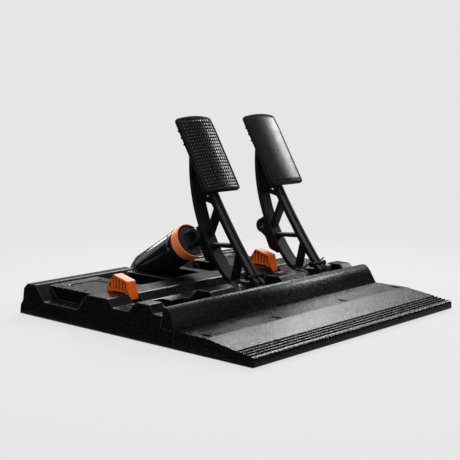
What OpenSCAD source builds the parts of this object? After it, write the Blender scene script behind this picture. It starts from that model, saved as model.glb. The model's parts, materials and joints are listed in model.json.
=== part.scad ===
// Sim racing pedal set: brake with a load-cell damper, throttle with return springs, one spare bay.
// Millimetres. X runs to the driver's right, Y runs from the driver to the rear, Z is up from the floor.
// Heights start at the floor and lengths along Y start at the front edge of the heel plate.

/* [Base] */
// Width of the base
base_w = 400; // [390:1:430]
// Depth of the base, front edge to rear edge
base_d = 400; // [398:1:420]
// Height of the base's rim above the floor
rim_z = 1.5; // [1:0.1:2.5]
// Slope of the base's left and right sides, in degrees
side_draft = 7; // [2:0.5:9]
// Thickness of the moulded walls and ribs around the cells underneath
wall = 4; // [3:0.5:5]
// Thickness of the deck's skin, measured upright
skin = 5; // [4:0.5:6]
// Spacing of the three pedal bays
bay_pitch = 133.4; // [130:0.2:136]
// Width of a pedal bay
bay_w = 81; // [80:0.5:84]
// Height of the bay floor
bay_floor_z = 6; // [5:0.5:8]

/* [Heel plate] */
// Height of the front lip
lip_z = 11.8; // [10:0.2:14]
// Height of the level part of the heel plate
heel_z = 21.6; // [20:0.2:24]
// Length of the slope
slope_y = 70; // [60:1:75]
// Joint between the heel plate and the tray
seam_y = 120; // [118:1:122]
// Number of grip grooves along the lip
groove_count = 4; // [2:1:5]
// Spacing of the grip grooves
groove_pitch = 5.6; // [4:0.2:6]
// Depth of the grip grooves
groove_depth = 1.3; // [0.8:0.1:2]

/* [Heel bar] */
// Height of the heel bar's top
bar_z = 45.6; // [42:0.2:50]
// Depth of the heel bar at its foot
bar_d = 22.5; // [20:0.5:24]
// Depth of the rounded top
bar_top_d = 7; // [5:0.5:9]
// Wall of the hollow heel bar
bar_wall = 3; // [2:0.5:4]
// Radius along the front edge of the heel bar's top
bar_edge_r = 8; // [4:0.5:8]

/* [Deck] */
// Height of the front valley, behind the heel bar
front_valley_z = 35.4; // [33:0.2:38]
// Height of the front rail's plateaus
front_rail_z = 45; // [43:0.2:47]
// Height of the middle valley
mid_valley_z = 32.4; // [31:0.2:34]
// Height of the middle rail
mid_rail_z = 42; // [41:0.2:43]
// Height of the rear valley
rear_valley_z = 21.5; // [20:0.5:24]
// Height of the rear wall
rear_wall_z = 41; // [40:0.2:44]
// Thickness of the rear wall at its foot
rear_wall_t = 15; // [12:0.5:18]
// Height of the pads between the middle rail and the rear wall
platform_z = 38; // [36:0.2:39]
// Radius on the edges of the rails
rail_r = 4; // [2:0.5:5]

/* [Rig mounting] */
// Distance of the outer slots from the middle of the base
slot_outer_x = 186.7; // [180:0.1:187]
// Distance of the inner slots from the middle of the base
slot_inner_x = 66.7; // [60:0.1:72]
// Distance between the front and rear slots
slot_span_y = 238; // [234:1:242]
// Width of a slot, for M6 screws
slot_w = 6.6; // [5:0.1:7]
// Length of a slot, end to end
slot_len = 15; // [10:0.5:18]

/* [Pedal arm] */
// Pivot, behind the front edge
pivot_y = 188; // [186:0.5:190]
// Pivot, above the floor
pivot_z = 32; // [31:0.5:34]
// Radius of the axle
axle_r = 5; // [4:0.1:5.5]
// Radius of the arm's hub
hub_r = 11; // [10:0.5:12]
// Width of the hub
hub_w = 16; // [14:0.5:16]
// Width of the rear chord
rear_chord_w = 20; // [16:0.5:22]
// Width of the front chord
front_chord_w = 15; // [12:0.5:16]
// Width of the struts between the chords
strut_w = 14; // [8:0.5:15]
// Thickness of both chords, seen from the side
chord_t = 6; // [5:0.2:7]
// Width of the groove along the front chord
chord_groove_w = 7; // [5:0.5:8]
// Depth of the groove along the front chord
chord_groove_t = 1.2; // [0.8:0.1:1.5]
// Thickness of the web behind the pad
head_web_t = 5; // [4:0.5:8]
// Width of the damper lug
lug_w = 10; // [8:0.5:10]
// Outer radius of the damper lug's eye
lug_r = 10; // [9:0.2:11]

/* [Pads] */
// Width of a pad
pad_w = 64; // [60:1:70]
// Length of a pad
pad_len = 108; // [104:1:112]
// Rise of a pad's top edge in the middle
pad_arch = 2; // [0.5:0.5:3]
// Lean of the pads from upright, in degrees
pad_tilt = 30.5; // [29:0.5:32]
// Thickness of a pad at its side edges
pad_t = 7; // [6:0.2:9]
// Rise of the pad's face in the middle
pad_crown = 4; // [2:0.5:5]
// Corner radius of a pad
pad_corner_r = 9; // [6:0.5:12]
// Spacing of the studs on the brake pad
stud_pitch = 4.7; // [4:0.1:6]
// Width of a stud
stud_w = 3.3; // [2.5:0.1:3.5]
// Height of a stud
stud_h = 1.1; // [0.6:0.1:1.5]
// Width of the plain rim round the studs
pad_rim = 4; // [3:0.5:6]

/* [Damper] */
// Distance of the damper's rear pivot from the base's rear edge
damper_mount_y = 22.6; // [21:0.1:25]
// Height of the damper's rear pivot above the floor
damper_mount_z = 33; // [32:0.5:35]
// Radius of the damper body
body_r = 23.5; // [22.5:0.1:24]
// Radius of the bore inside the body
bore_r = 20.6; // [19:0.1:20.8]
// Radius of the preload ring
ring_r = 24.2; // [23:0.1:25]
// Length of the preload ring
ring_len = 18; // [16:0.5:19]
// Distance from the fork pin to the front of the preload ring
ring_gap = 17.5; // [16:0.5:19]
// Radius of the collar at the front of the damper body
collar_r = 24.6; // [24:0.1:25]
// Length of the collar
collar_len = 6; // [4:0.5:8]
// Length of the rear cap
rear_cap_len = 20; // [18:0.5:22]
// Radius of the fork pin and the damper pivot pin
pin_r = 4; // [3.5:0.1:4.2]
// Outer radius of the elastomers
elastomer_r = 17.5; // [14:0.5:18]

/* [Latches] */
// Width of a latch
latch_w = 14; // [11:0.5:15]
// Left side of a latch, left of its bay's middle
latch_x = 26.7; // [26:0.1:28]
// Height of the latch's top rear edge
latch_z = 64; // [60:0.5:68]
// Number of ribs on a latch's side
latch_ribs = 5; // [3:1:5]

/* [Throttle springs] */
// Radius of the spring wire
wire_r = 1.1; // [0.8:0.1:1.2]
// Mean radius of the coils
coil_r = 10; // [9.5:0.1:10.5]
// Full turns of each spring
coil_turns = 3; // [2:1:3]
// Rise of the coil in one turn
coil_pitch = 2.75; // [2.7:0.05:2.8]

/* [Fits] */
// Radial clearance where a shaft turns
run_gap = 0.05; // [0.02:0.01:0.1]
// Radial clearance of pieces that are pressed together
press_gap = 0.02; // [0.01:0.01:0.05]
// Space between pieces that pass each other
free_gap = 0.4; // [0.3:0.1:0.6]
// Radial clearance of the fork on its pin
fork_gap = 0.8; // [0.6:0.1:1]

/* [Hidden] */
$fn = 64;

tiny = 0.01;
tall = 80;
black = "#1b1b1c";
dark = "#262628";
orange = "#c8641e";
steel = "#a9adb2";
rubber = "#141414";
zinc = "#c9ccd0";

// Bays: spare, brake and throttle
spare_x = -bay_pitch;
brake_x = 0;
throttle_x = bay_pitch;
bays = [spare_x, brake_x, throttle_x];
latched_bays = [spare_x, throttle_x];

// Deck, as [distance from the front edge, height]
bar_front_y = seam_y - 1.5;
bar_rear_y = bar_front_y + bar_d;
rear_y = base_d;
rear_wall_front_y = rear_y - 27;
rear_crest_y = rear_y - 11;
deck = [
    [seam_y, heel_z], [bar_rear_y - tiny, heel_z], [bar_rear_y, front_valley_z],
    [154, front_valley_z], [163, front_rail_z], [185, front_rail_z],
    [197, mid_valley_z], [224, mid_valley_z], [235, mid_rail_z], [272, mid_rail_z],
    [288, rear_valley_z], [rear_wall_front_y - 20, rear_valley_z], [rear_wall_front_y, rear_wall_z],
    [rear_crest_y, rear_wall_z], [rear_y - 4, rear_wall_z - 7]
];
deck_corner_r = [0, 0, 1, rail_r, rail_r, rail_r, rail_r, rail_r, rail_r, rail_r, rail_r, rail_r, rail_r, 4, 3];
rear_step_z = [19, 13];
mid_rail_front_y = 235;
mid_rail_rear_y = 272;
platform_deck = [
    [224, mid_valley_z], [mid_rail_front_y, mid_rail_z], [268, mid_rail_z], [mid_rail_rear_y, platform_z],
    [rear_wall_front_y - 5, platform_z], [rear_wall_front_y, rear_wall_z], [rear_crest_y, rear_wall_z]
];
platform_front_y = mid_rail_rear_y - 4;
platform_rear_y = rear_wall_front_y - 1;

pocket_front_y = 150;
pocket_rear_y = 206;
pocket_deep_y = 222;
pocket_side_x = 17;
deck_cell_rear_y = rear_y - rear_wall_t;

// Shallow recess and blind holes in the platforms beside the latches
recess_y = [mid_rail_rear_y + 22, rear_wall_front_y - 17];
recess_half_w = 24;
recess_r = 7;
recess_depth = 1;
platform_hole_x = 32.5;
platform_hole_ys = [recess_y[0] + 17, recess_y[1]];
platform_hole_r = 3.2;
platform_hole_depth = 14;

// Rig slots, in pairs front and rear
slot_xs = [-slot_outer_x, -slot_inner_x, slot_inner_x, slot_outer_x];
slot_front_y = base_d / 2 - slot_span_y / 2;
slot_rear_y = base_d / 2 + slot_span_y / 2;
slot_boss_w = slot_w + 9;
slot_boss_len = slot_len + 10;

// Feet
foot_r = 11;
foot_h = 4.5;
foot_xs = [16 - base_w / 2, base_w / 2 - 16];
foot_ys = [20, rear_y - 22];
foot_boss_r = foot_r + 3;

// Pedal bracket, seen from the pivot
cheek_in = 21;
cheek_t = 6;
cheek_out = cheek_in + cheek_t;
cheek_r = 12;
bush_r = axle_r + 2;
bush_flange_t = 1;
bush_flange_r = bush_r + 2;
plate_w = 72;
plate_t = 5;
plate_front = -35;
plate_rear = 15;
bracket_floor = bay_floor_z - pivot_z;
plate_top = bracket_floor + plate_t;
bracket_screw_head_r = 4.2;
bracket_screw_x = cheek_out + bracket_screw_head_r + free_gap;
bracket_screw_ys = [-29, 9];
bracket_screw_r = 2.5;
bumper_top = 6;
bumper_h = 7;
bumper_y = [-31, -20];
bumper_w = 16;
spring_post_y = coil_r - wire_r - free_gap;
spring_post_t = 3;
spring_post_top = -12;

// Cross pin at the arm's foot, seen from the pivot
cross_pin = [-16, 18];
cross_pin_r = 3;
cross_pin_wall = 3;
cross_pin_half = 15;
cross_pin_head_r = 3.6;
cross_pin_head_t = 2;

// Arm outline, seen from the pivot: the rear chord is an arc and the front chord a shallow one
rear_chord_foot = [25.8, 8.1];
rear_chord_head = [88.8, 188.3];
rear_arc_r = 205;
rear_arc_c = arc_centre(rear_chord_foot, rear_chord_head, rear_arc_r);
front_chord_foot = [-22, 9.5];
front_chord_head = [55, 118];
front_arc_r = 941;
front_arc_c = arc_centre(front_chord_foot, front_chord_head, front_arc_r);
front_arc_extra = 1.4;
chord_space_clip = [[-26, 6], [40, 6], [100, 60], [100, 165], [70, 165], [43, 110]];

// Openings between the struts, drawn into the chords, whose faces end them
arm_openings = [
    [[47.4, 106], [64.6, 64], [76.5, 88], [82, 113.7]],
    [[17, 57.5], [44, 98.6], [61.5, 60.6], [58.5, 54.4]],
    [[55.5, 49.9], [43, 28], [24, 7], [20, 7], [9.4, 52.45]],
    [[6.3, 46], [15.2, 8], [-20, 8]]
];
head_opening = [[74, 115.2], [66, 117], [65, 124], [61.3, 123.5], [56.3, 113.6]];
head_pocket = [[60, 147], [95, 141.2], [112, 200], [84, 200]];
foot_outline = [
    [-27, bumper_top + free_gap], [-21, 12.5], [-6, 11], [14, 10], [28, 12], [20, 2], [9, -9], [-9, -9],
    [-17.5, bumper_top + free_gap]
];
lug = [82, 63];
lug_outline = [[62, 87], [87, 71], [90, 63], [89, 57], [75, 47.5], [67, 31], [52, 26], [52, 60]];
lug_corner_r = [0, 0, 0, 0, 8, 6, 0, 0];

// Pad places, seen from the pivot
pad_foot = [36, 126];
head_gap = 0.3;
head_t = 5;
head_w = 42;
head_from = 12;
head_to = 92;
head_web_to = 76;
head_web_h = 12;
pad_screw_x = 14;
pad_screw_ys = [24, 80];
pad_screw_r = 2;
pad_screw_head_r = 4;
pad_screw_head_t = 3;
pad_screw_depth = 5;
pad_arch_steps = 6;
pad_rib_ys = [72, 82, 92];
pad_rib_w = 2.8;
pad_rib_h = 1.2;
pad_rib_from = 24;
pad_rib_inset = 0.8;
pad_curl_y = 35;
pad_curl_r = 600;
pad_cross_r = ((pad_w / 2) * (pad_w / 2) + pad_crown * pad_crown) / (2 * pad_crown);

// Damper, measured along its axis from the fork pin
ring_from = ring_gap;
ring_to = ring_gap + ring_len;
ring_axial_gap = 0.5;
ring_wall = 1.7;
ring_bore_r = ring_r - ring_wall;
neck_r = ring_bore_r - run_gap;
neck_from = ring_from + ring_axial_gap;
body_from = ring_to + ring_axial_gap;
damper_y = pivot_y + lug[0];
damper_z = pivot_z + lug[1];
rear_pivot_y = rear_y - damper_mount_y;
rear_pivot_z = damper_mount_z;
rear_pivot_at = norm([rear_pivot_y - damper_y, rear_pivot_z - damper_z]);
damper_tilt = atan2(damper_z - rear_pivot_z, rear_pivot_y - damper_y);
cap_pivot_at = 9;
body_to = rear_pivot_at - cap_pivot_at;
piston_r = bore_r - run_gap;
piston_from = ring_from + 1;
piston_len = 11.5;
piston_to = piston_from + piston_len;
stem_r = 6;
stem_gap = 10;
fork_in = lug_w / 2 + free_gap;
fork_t = 6;
fork_out = fork_in + fork_t;
fork_r = 9.5;
fork_pin_head_r = 6;
fork_pin_head_t = 2;
seal_at = piston_from + 5;
seal_r = 1;
seal_ring_r = bore_r - seal_r - 0.1;
elastomer_count = 3;
elastomer_gap = 0.3;
load_cell_t = 9;
load_cell_to = body_to - 10;
load_cell_from = load_cell_to - load_cell_t;
stem_to = load_cell_from - stem_gap;
elastomer_len = (load_cell_from - piston_to) / elastomer_count - elastomer_gap;
rear_cap_to = body_to + rear_cap_len;
rear_cap_nose_r = 18.3;
rear_cap_straight = 3;
damper_slot_half = ring_r + 3.4;
damper_slot_from = mid_rail_rear_y + 20;
damper_slot_z = 7.5;
damper_slot_r = 10;
pivot_pin_half = damper_slot_half + 12;

// Latch, seen from the side
latch_pivot_y = 270;
latch_pivot_z = 40;
latch_pin_r = 2;
latch_eye_r = 5.5;
latch_pin_half = latch_w / 2 + 5;
latch_base_z = mid_rail_z + 0.8;
claw_z = 35;
latch_outline = [
    [232, claw_z], [237.5, latch_z - 6.5], [263, latch_z], [276, latch_base_z + 3],
    [274, latch_base_z], [242, latch_base_z], [238.5, claw_z + 0.8]
];
latch_corner_r = [0.8, 3, 3, 1, 0.5, 2.5, 0.5];
latch_recess = [
    [240.5, latch_z - 8.7], [264.5, latch_z - 3.2], [272.5, latch_base_z + 3.7], [239.5, latch_base_z + 2.2]
];
latch_recess_depth = 4;
rib_depth = 3.4;
rib_t = 2.6;
rib_pitch = 5.6;
rib_from = latch_recess[0][0] + 2.6;
latch_side_gap = 0.5;
latch_slot_y = [262, 281];
latch_slot_z = 33;
claw_slot_y = [228, 243];
claw_slot_z = 30;
tongue_z = [claw_slot_z + 0.3, claw_z - free_gap];
tongue_rear_y = 237;
tongue_front = 12;

// Spring legs
leg_pin_gap = cross_pin_r + wire_r + free_gap;
leg_angle = atan2(cross_pin[1], cross_pin[0]) - acos((coil_r - leg_pin_gap) / norm(cross_pin));
leg_len = 30;
post_leg_len = 19;
coil_from = hub_w / 2 + free_gap + wire_r;
rings_per_turn = 8;
wire_sides = 6;

// Control box, in the cell behind the throttle's latch
cell_rib = 3;
box_w = bay_w / 2 - wall - cell_rib / 2 - 2 * free_gap;
box_x = throttle_x - cell_rib / 2 - free_gap - box_w;
box_wall = 2;
box_len = 62;
box_h = 17;
box_z = 4;
usb_w = 9;
usb_h = 3.4;
usb_shell = 0.4;
usb_rear_gap = 5;
usb_x = box_x + box_w / 2;
usb_z = box_z + box_h / 2;

function unit(v) = v / norm(v);
function cross2(a, b) = a[0] * b[1] - a[1] * b[0];
function arc_centre(a, b, r) =
    let (m = (a + b) / 2, d = b - a, h = sqrt(r * r - (d * d) / 4))
    m + unit([-d[1], d[0]]) * h;
function deck_under(line, y0, y1) = concat(
    [[y0, -1], [y0, lookup(y0, line) - skin]],
    [for (p = line) if (p[0] > y0 + tiny && p[0] < y1 - tiny) [p[0], p[1] - skin]],
    [[y1, lookup(y1, line) - skin], [y1, -1]]
);

// Places all pieces with the base's centre at the origin
module from_front() {
    translate([0, -base_d / 2, 0]) children();
}

// Extrudes a side view, drawn as [Y, Z], from x0 to x1
module along_x(x0, x1) {
    translate([x0, 0, 0]) rotate([90, 0, 90]) linear_extrude(height = x1 - x0) children();
}

module across(w) {
    along_x(-w / 2, w / 2) children();
}

module rod_x(r, x0, x1) {
    translate([x0, 0, 0]) rotate([0, 90, 0]) cylinder(r = r, h = x1 - x0);
}

// Polygon with a true arc of the given radius at each corner, meeting the sides at a small angle
arc_lean = 6;

module rounded(pts, radii) {
    n = len(pts);
    function r_at(i) = is_list(radii) ? radii[i] : radii;
    function turn(i) = cross2(pts[i] - pts[(i + n - 1) % n], pts[(i + 1) % n] - pts[i]);
    area_sign = sign([for (i = [0 : n - 1]) cross2(pts[i], pts[(i + 1) % n])] * [for (i = [0 : n - 1]) 1]);
    module wedge(i) {
        p = pts[i];
        u = unit(pts[(i + n - 1) % n] - p);
        v = unit(pts[(i + 1) % n] - p);
        half = acos(u * v) / 2;
        inner_r = r_at(i) * cos(arc_lean);
        reach = inner_r / tan(half);
        past = unit(u - v) * r_at(i) / 5;
        difference() {
            polygon([p + u * reach + past, p - unit(u + v) * r_at(i) / 2, p + v * reach - past]);
            translate(p + unit(u + v) * inner_r / sin(half)) circle(r = r_at(i));
        }
    }
    difference() {
        union() {
            polygon(pts);
            for (i = [0 : n - 1]) if (r_at(i) > 0 && turn(i) * area_sign < 0) wedge(i);
        }
        for (i = [0 : n - 1]) if (r_at(i) > 0 && turn(i) * area_sign > 0) wedge(i);
    }
}

module box_between(a, b) {
    translate(a) cube(b - a);
}

// Base

module side_taper() {
    inset = tall * tan(side_draft);
    rotate([-90, 0, 0]) linear_extrude(height = base_d)
        polygon([[-base_w / 2, 0], [base_w / 2, 0], [base_w / 2 - inset, -tall], [inset - base_w / 2, -tall]]);
}

module tray_outline() {
    low = [[rear_y - 4, rear_step_z[0]], [rear_y, rear_step_z[1]], [rear_y, rim_z], [seam_y, rim_z]];
    rounded(concat(deck, low), concat(deck_corner_r, [1, 1, 0, 0]));
}

module platform(x) {
    along_x(x - bay_w / 2, x + bay_w / 2) polygon([
        [platform_front_y, rim_z], [platform_front_y, platform_z], [platform_rear_y, platform_z],
        [platform_rear_y, rim_z]
    ]);
}

module platform_recess(x) {
    translate([x, 0, platform_z - recess_depth]) linear_extrude(height = tall) rounded([
        [-recess_half_w, recess_y[0]], [recess_half_w, recess_y[0]],
        [recess_half_w, recess_y[1]], [-recess_half_w, recess_y[1]]
    ], recess_r);
    for (side = [-1, 1]) for (y = platform_hole_ys)
        translate([x + side * platform_hole_x, y, platform_z - platform_hole_depth])
            cylinder(r = platform_hole_r, h = tall);
}

module bay_pocket(x) {
    box_between([x - bay_w / 2, pocket_front_y, bay_floor_z], [x + bay_w / 2, pocket_rear_y, tall]);
    box_between([x - bay_w / 2, pocket_rear_y - 1, bay_floor_z], [x + pocket_side_x, pocket_deep_y, tall]);
}

module latch_slots(x) {
    x0 = x - latch_x - latch_side_gap;
    x1 = x0 + latch_w + 2 * latch_side_gap;
    box_between([x0, latch_slot_y[0], latch_slot_z], [x1, latch_slot_y[1], tall]);
    box_between([x0, claw_slot_y[0], claw_slot_z], [x1, claw_slot_y[1], tall]);
    box_between([x0, pocket_deep_y - 1, claw_slot_z], [x1, claw_slot_y[1], tall]);
    translate([x - latch_x + latch_w / 2, latch_pivot_y, latch_pivot_z])
        rod_x(latch_pin_r + press_gap, -latch_pin_half, latch_pin_half);
}

module damper_slot() {
    rotate([-90, 0, 0]) translate([brake_x, 0, damper_slot_from]) linear_extrude(height = base_d)
        rounded([
            [-damper_slot_half, -damper_slot_z], [damper_slot_half, -damper_slot_z],
            [damper_slot_half, -tall], [-damper_slot_half, -tall]
        ], [damper_slot_r, damper_slot_r, 0, 0]);
    translate([brake_x, rear_pivot_y, rear_pivot_z])
        rod_x(pin_r + press_gap, -pivot_pin_half, pivot_pin_half);
}

module slot_cut(x, y) {
    half = slot_len / 2 - slot_w / 2;
    translate([x, y, -1]) linear_extrude(height = tall) union() {
        translate([-slot_w / 2, -half]) square([slot_w, 2 * half]);
        for (side = [-1, 1]) translate([0, side * half]) circle(d = slot_w);
    }
}

module slot_boss(x, y) {
    translate([x - slot_boss_w / 2, y - slot_boss_len / 2, -2]) cube([slot_boss_w, slot_boss_len, tall]);
}

module foot_places(rows) {
    for (x = foot_xs) for (y = rows) translate([x, y, 0]) children();
}

// Open cells under the tray
module tray_cells() {
    edge = base_w / 2 - 2 * wall - tall / 2 * tan(side_draft);
    half_bay = bay_w / 2 + wall;
    rib = cell_rib / 2;
    front_y = seam_y + wall;
    front_end = pocket_front_y - wall;
    rear_start = pocket_deep_y + wall;
    module cell(x0, x1, line, y0, y1) { along_x(x0, x1) polygon(deck_under(line, y0, y1)); }
    difference() {
        union() {
            for (side = [-1, 1]) {
                between = side * bay_pitch / 2;
                reach = bay_pitch / 2 - half_bay;
                mid = side * slot_inner_x;
                cell(between - reach, mid - rib, deck, front_y, deck_cell_rear_y);
                cell(mid + rib, between + reach, deck, front_y, deck_cell_rear_y);
            }
            cell(-edge, spare_x - half_bay, deck, front_y, deck_cell_rear_y);
            cell(throttle_x + half_bay, edge, deck, front_y, deck_cell_rear_y);
            for (x = bays) for (side = [-1, 1]) {
                x0 = side < 0 ? x - bay_w / 2 + wall : x + rib;
                x1 = side < 0 ? x - rib : x + bay_w / 2 - wall;
                cell(x0, x1, deck, front_y, front_end);
                start = side < 0 && x != brake_x ? latch_slot_y[1] + 2 * wall : rear_start;
                end = x == brake_x ? damper_slot_from - wall : deck_cell_rear_y;
                cell(x0, x1, platform_deck, start, end);
            }
        }
        for (x = slot_xs) slot_boss(x, slot_rear_y);
        foot_places([foot_ys[1]]) translate([0, 0, -2]) cylinder(r = foot_boss_r, h = tall);
    }
}

module base_tray() {
    color(black) from_front() difference() {
        intersection() {
            union() {
                across(base_w) tray_outline();
                for (x = bays) platform(x);
            }
            side_taper();
        }
        for (x = bays) bay_pocket(x);
        for (x = latched_bays) {
            latch_slots(x);
            platform_recess(x);
        }
        damper_slot();
        tray_cells();
        for (x = slot_xs) slot_cut(x, slot_rear_y);
        foot_places([foot_ys[1]]) cylinder(r = foot_r + press_gap, h = foot_h);
        box_between(
            [usb_x - usb_w / 2 - free_gap, deck_cell_rear_y - 1, usb_z - usb_h / 2 - free_gap],
            [usb_x + usb_w / 2 + free_gap, base_d + 1, usb_z + usb_h / 2 + free_gap]
        );
        for (x = heel_screw_xs) translate([x, seam_y, heel_z / 2]) rotate([-90, 0, 0])
            cylinder(r = heel_screw_r + press_gap, h = wall + 1);
        for (x = bar_screw_xs) translate([x, bar_mid_y, 0]) cylinder(r = bar_screw_r + press_gap, h = heel_z + 1);
        for (x = bays) bracket_screw_places(x)
            translate([0, 0, -bay_floor_z]) cylinder(r = bracket_screw_r + press_gap, h = 2 * bay_floor_z);
    }
}

// Heel plate, a wedge with grip grooves and open cells underneath
heel_cells = 12;
heel_cell_w = (base_w - 2 * wall - 2 * lip_z * tan(side_draft)) / heel_cells;
heel_screw_xs = [for (i = [-4.5, -1.5, 1.5, 4.5]) i * heel_cell_w];
heel_screw_r = 2;
heel_screw_head_r = 3.8;
heel_screw_head_t = 2.5;
heel_line = [[0, lip_z], [slope_y, heel_z], [seam_y, heel_z]];

module heel_plate() {
    color(black) from_front() difference() {
        intersection() {
            across(base_w) rounded(concat([[0, rim_z]], heel_line, [[seam_y, rim_z]]), [1, 3, 8, 0, 0]);
            side_taper();
        }
        difference() {
            for (i = [-heel_cells / 2 : heel_cells / 2 - 1])
                along_x(i * heel_cell_w + cell_rib / 2, (i + 1) * heel_cell_w - cell_rib / 2)
                    polygon(deck_under(heel_line, wall, seam_y - wall));
            for (x = slot_xs) slot_boss(x, slot_front_y);
            foot_places([foot_ys[0]]) translate([0, 0, -2]) cylinder(r = foot_boss_r, h = tall);
        }
        for (i = [0 : groove_count - 1]) grip_groove(5 + i * groove_pitch);
        for (x = slot_xs) slot_cut(x, slot_front_y);
        foot_places([foot_ys[0]]) cylinder(r = foot_r + press_gap, h = foot_h);
        for (x = heel_screw_xs) translate([x, seam_y - wall - 1, heel_z / 2]) rotate([-90, 0, 0])
            cylinder(r = heel_screw_r + press_gap, h = wall + 2);
    }
}

module grip_groove(y) {
    z = function (at) lookup(at, heel_line);
    run = groove_pitch - 1;
    across(base_w + 2) polygon([
        [y, z(y) + 0.5], [y, z(y)], [y + run * 0.8, z(y + run * 0.8) - groove_depth], [y + run, z(y + run)],
        [y + run, z(y + run) + 0.5]
    ]);
}

module heel_plate_screws() {
    color(steel) from_front() for (x = heel_screw_xs) translate([x, seam_y - wall, heel_z / 2])
        rotate([-90, 0, 0]) union() {
            translate([0, 0, -heel_screw_head_t]) cylinder(r = heel_screw_head_r, h = heel_screw_head_t);
            cylinder(r = heel_screw_r, h = 2 * wall);
        }
}

// Heel bar, a hollow wedge over the joint of heel plate and tray
bar_screw_xs = [-160, -53, 53, 160];
bar_screw_r = 2;
bar_screw_head_r = 3.8;
bar_mid_y = bar_rear_y - bar_top_d - 1;
bar_boss_r = 5;
bar_screw_bite = 8;
bar_hole_spare = 2;

module bar_outline(inset) {
    top = bar_z - inset;
    foot = heel_z + free_gap / 4;
    rounded([
        [bar_front_y + 1.6 * inset, foot], [bar_rear_y - free_gap / 4 - inset, foot],
        [bar_rear_y - free_gap / 4 - inset, top], [bar_rear_y - bar_top_d, top]
    ], [0, 0, max(2.5 - inset / 2, 1), max(bar_edge_r - inset, 1.5)]);
}

module heel_bar() {
    end_wall = 2 * bar_wall + bar_z * tan(side_draft);
    color(black) from_front() difference() {
        intersection() {
            across(base_w) bar_outline(0);
            side_taper();
        }
        difference() {
            across(base_w - 2 * end_wall) translate([0, -tiny]) bar_outline(bar_wall);
            for (x = bar_screw_xs) translate([x, bar_mid_y, 0]) cylinder(r = bar_boss_r, h = tall);
        }
        for (x = bar_screw_xs) translate([x, bar_mid_y, 0])
            cylinder(r = bar_screw_r + press_gap, h = heel_z + bar_screw_bite + bar_hole_spare);
    }
}

module heel_bar_screws() {
    under = heel_z - skin;
    color(steel) from_front() for (x = bar_screw_xs) translate([x, bar_mid_y, under]) union() {
        translate([0, 0, -heel_screw_head_t]) cylinder(r = bar_screw_head_r, h = heel_screw_head_t);
        cylinder(r = bar_screw_r, h = skin + bar_screw_bite);
    }
}

module rubber_feet() {
    color(rubber) from_front() foot_places(foot_ys) cylinder(r = foot_r, h = foot_h);
}

// Electronics

module control_box() {
    y1 = deck_cell_rear_y - free_gap;
    inset = [box_wall, box_wall, box_wall];
    color(dark) from_front() difference() {
        box_between([box_x, y1 - box_len, box_z], [box_x + box_w, y1, box_z + box_h]);
        box_between([box_x, y1 - box_len, box_z] + inset, [box_x + box_w, y1, box_z + box_h] - inset);
        box_between(
            [usb_x - usb_w / 2 - press_gap, y1 - box_wall - 1, usb_z - usb_h / 2 - press_gap],
            [usb_x + usb_w / 2 + press_gap, y1 + 1, usb_z + usb_h / 2 + press_gap]
        );
    }
}

module usb_socket() {
    y1 = deck_cell_rear_y - free_gap - box_wall;
    len = base_d - usb_rear_gap - y1;
    color(steel) from_front() translate([usb_x, y1, usb_z]) rotate([-90, 0, 0]) difference() {
        linear_extrude(height = len) rounded_slot(usb_w, usb_h);
        translate([0, 0, 2]) linear_extrude(height = len)
            rounded_slot(usb_w - 2 * usb_shell, usb_h - 2 * usb_shell);
    }
}

module rounded_slot(w, h) {
    union() {
        square([w - h, h], center = true);
        for (side = [-1, 1]) translate([side * (w - h) / 2, 0]) circle(d = h);
    }
}

// Pedal brackets

module at_pivot(x) {
    from_front() translate([x, pivot_y, pivot_z]) children();
}

module bracket_screw_places(x) {
    for (sx = [-1, 1]) for (sy = bracket_screw_ys)
        translate([x + sx * bracket_screw_x, pivot_y + sy, bay_floor_z]) children();
}

module cheek_outline() {
    difference() {
        union() {
            circle(r = cheek_r);
            polygon([
                [-cheek_r, 0], [-cheek_r - 8, plate_top], [-cheek_r - 8, bracket_floor + tiny],
                [cheek_r + 2, bracket_floor + tiny], [cheek_r + 2, plate_top], [cheek_r, 0]
            ]);
        }
        circle(r = bush_r + press_gap);
    }
}

module pedal_bracket(with_tongue, with_posts) {
    difference() {
        union() {
            box_between([-plate_w / 2, plate_front, bracket_floor], [plate_w / 2, plate_rear, plate_top]);
            along_x(-cheek_out, -cheek_in) cheek_outline();
            along_x(cheek_in, cheek_out) cheek_outline();
            box_between(
                [-bumper_w / 2, bumper_y[0], bracket_floor + 1],
                [bumper_w / 2, bumper_y[1], bumper_top - bumper_h]
            );
            if (with_tongue) tongue();
            if (with_posts) for (side = [-1, 1])
                box_between(
                    [side < 0 ? -cheek_in - tiny : hub_w / 2 + 4, spring_post_y - spring_post_t, bracket_floor + 1],
                    [side < 0 ? -hub_w / 2 - 4 : cheek_in + tiny, spring_post_y, spring_post_top]
                );
        }
        for (sx = [-1, 1]) for (sy = bracket_screw_ys)
            translate([sx * bracket_screw_x, sy, bracket_floor - 1])
                cylinder(r = bracket_screw_r + press_gap, h = plate_t + 2);
    }
}

// Arm of the bracket that reaches back under the latch's claw
module tongue() {
    x0 = -latch_x + free_gap;
    x1 = x0 + latch_w - 2 * free_gap;
    z0 = tongue_z[0] - pivot_z;
    z1 = tongue_z[1] - pivot_z;
    along_x(x0, x1) polygon([
        [tongue_front, bracket_floor + 1], [tongue_front, z1], [tongue_rear_y - pivot_y, z1],
        [tongue_rear_y - pivot_y, z0], [plate_rear, z0], [plate_rear, bracket_floor + 1]
    ]);
}

module brake_bracket() {
    color(dark) at_pivot(brake_x) pedal_bracket(false, false);
}

module throttle_bracket() {
    color(dark) at_pivot(throttle_x) pedal_bracket(true, true);
}

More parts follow.
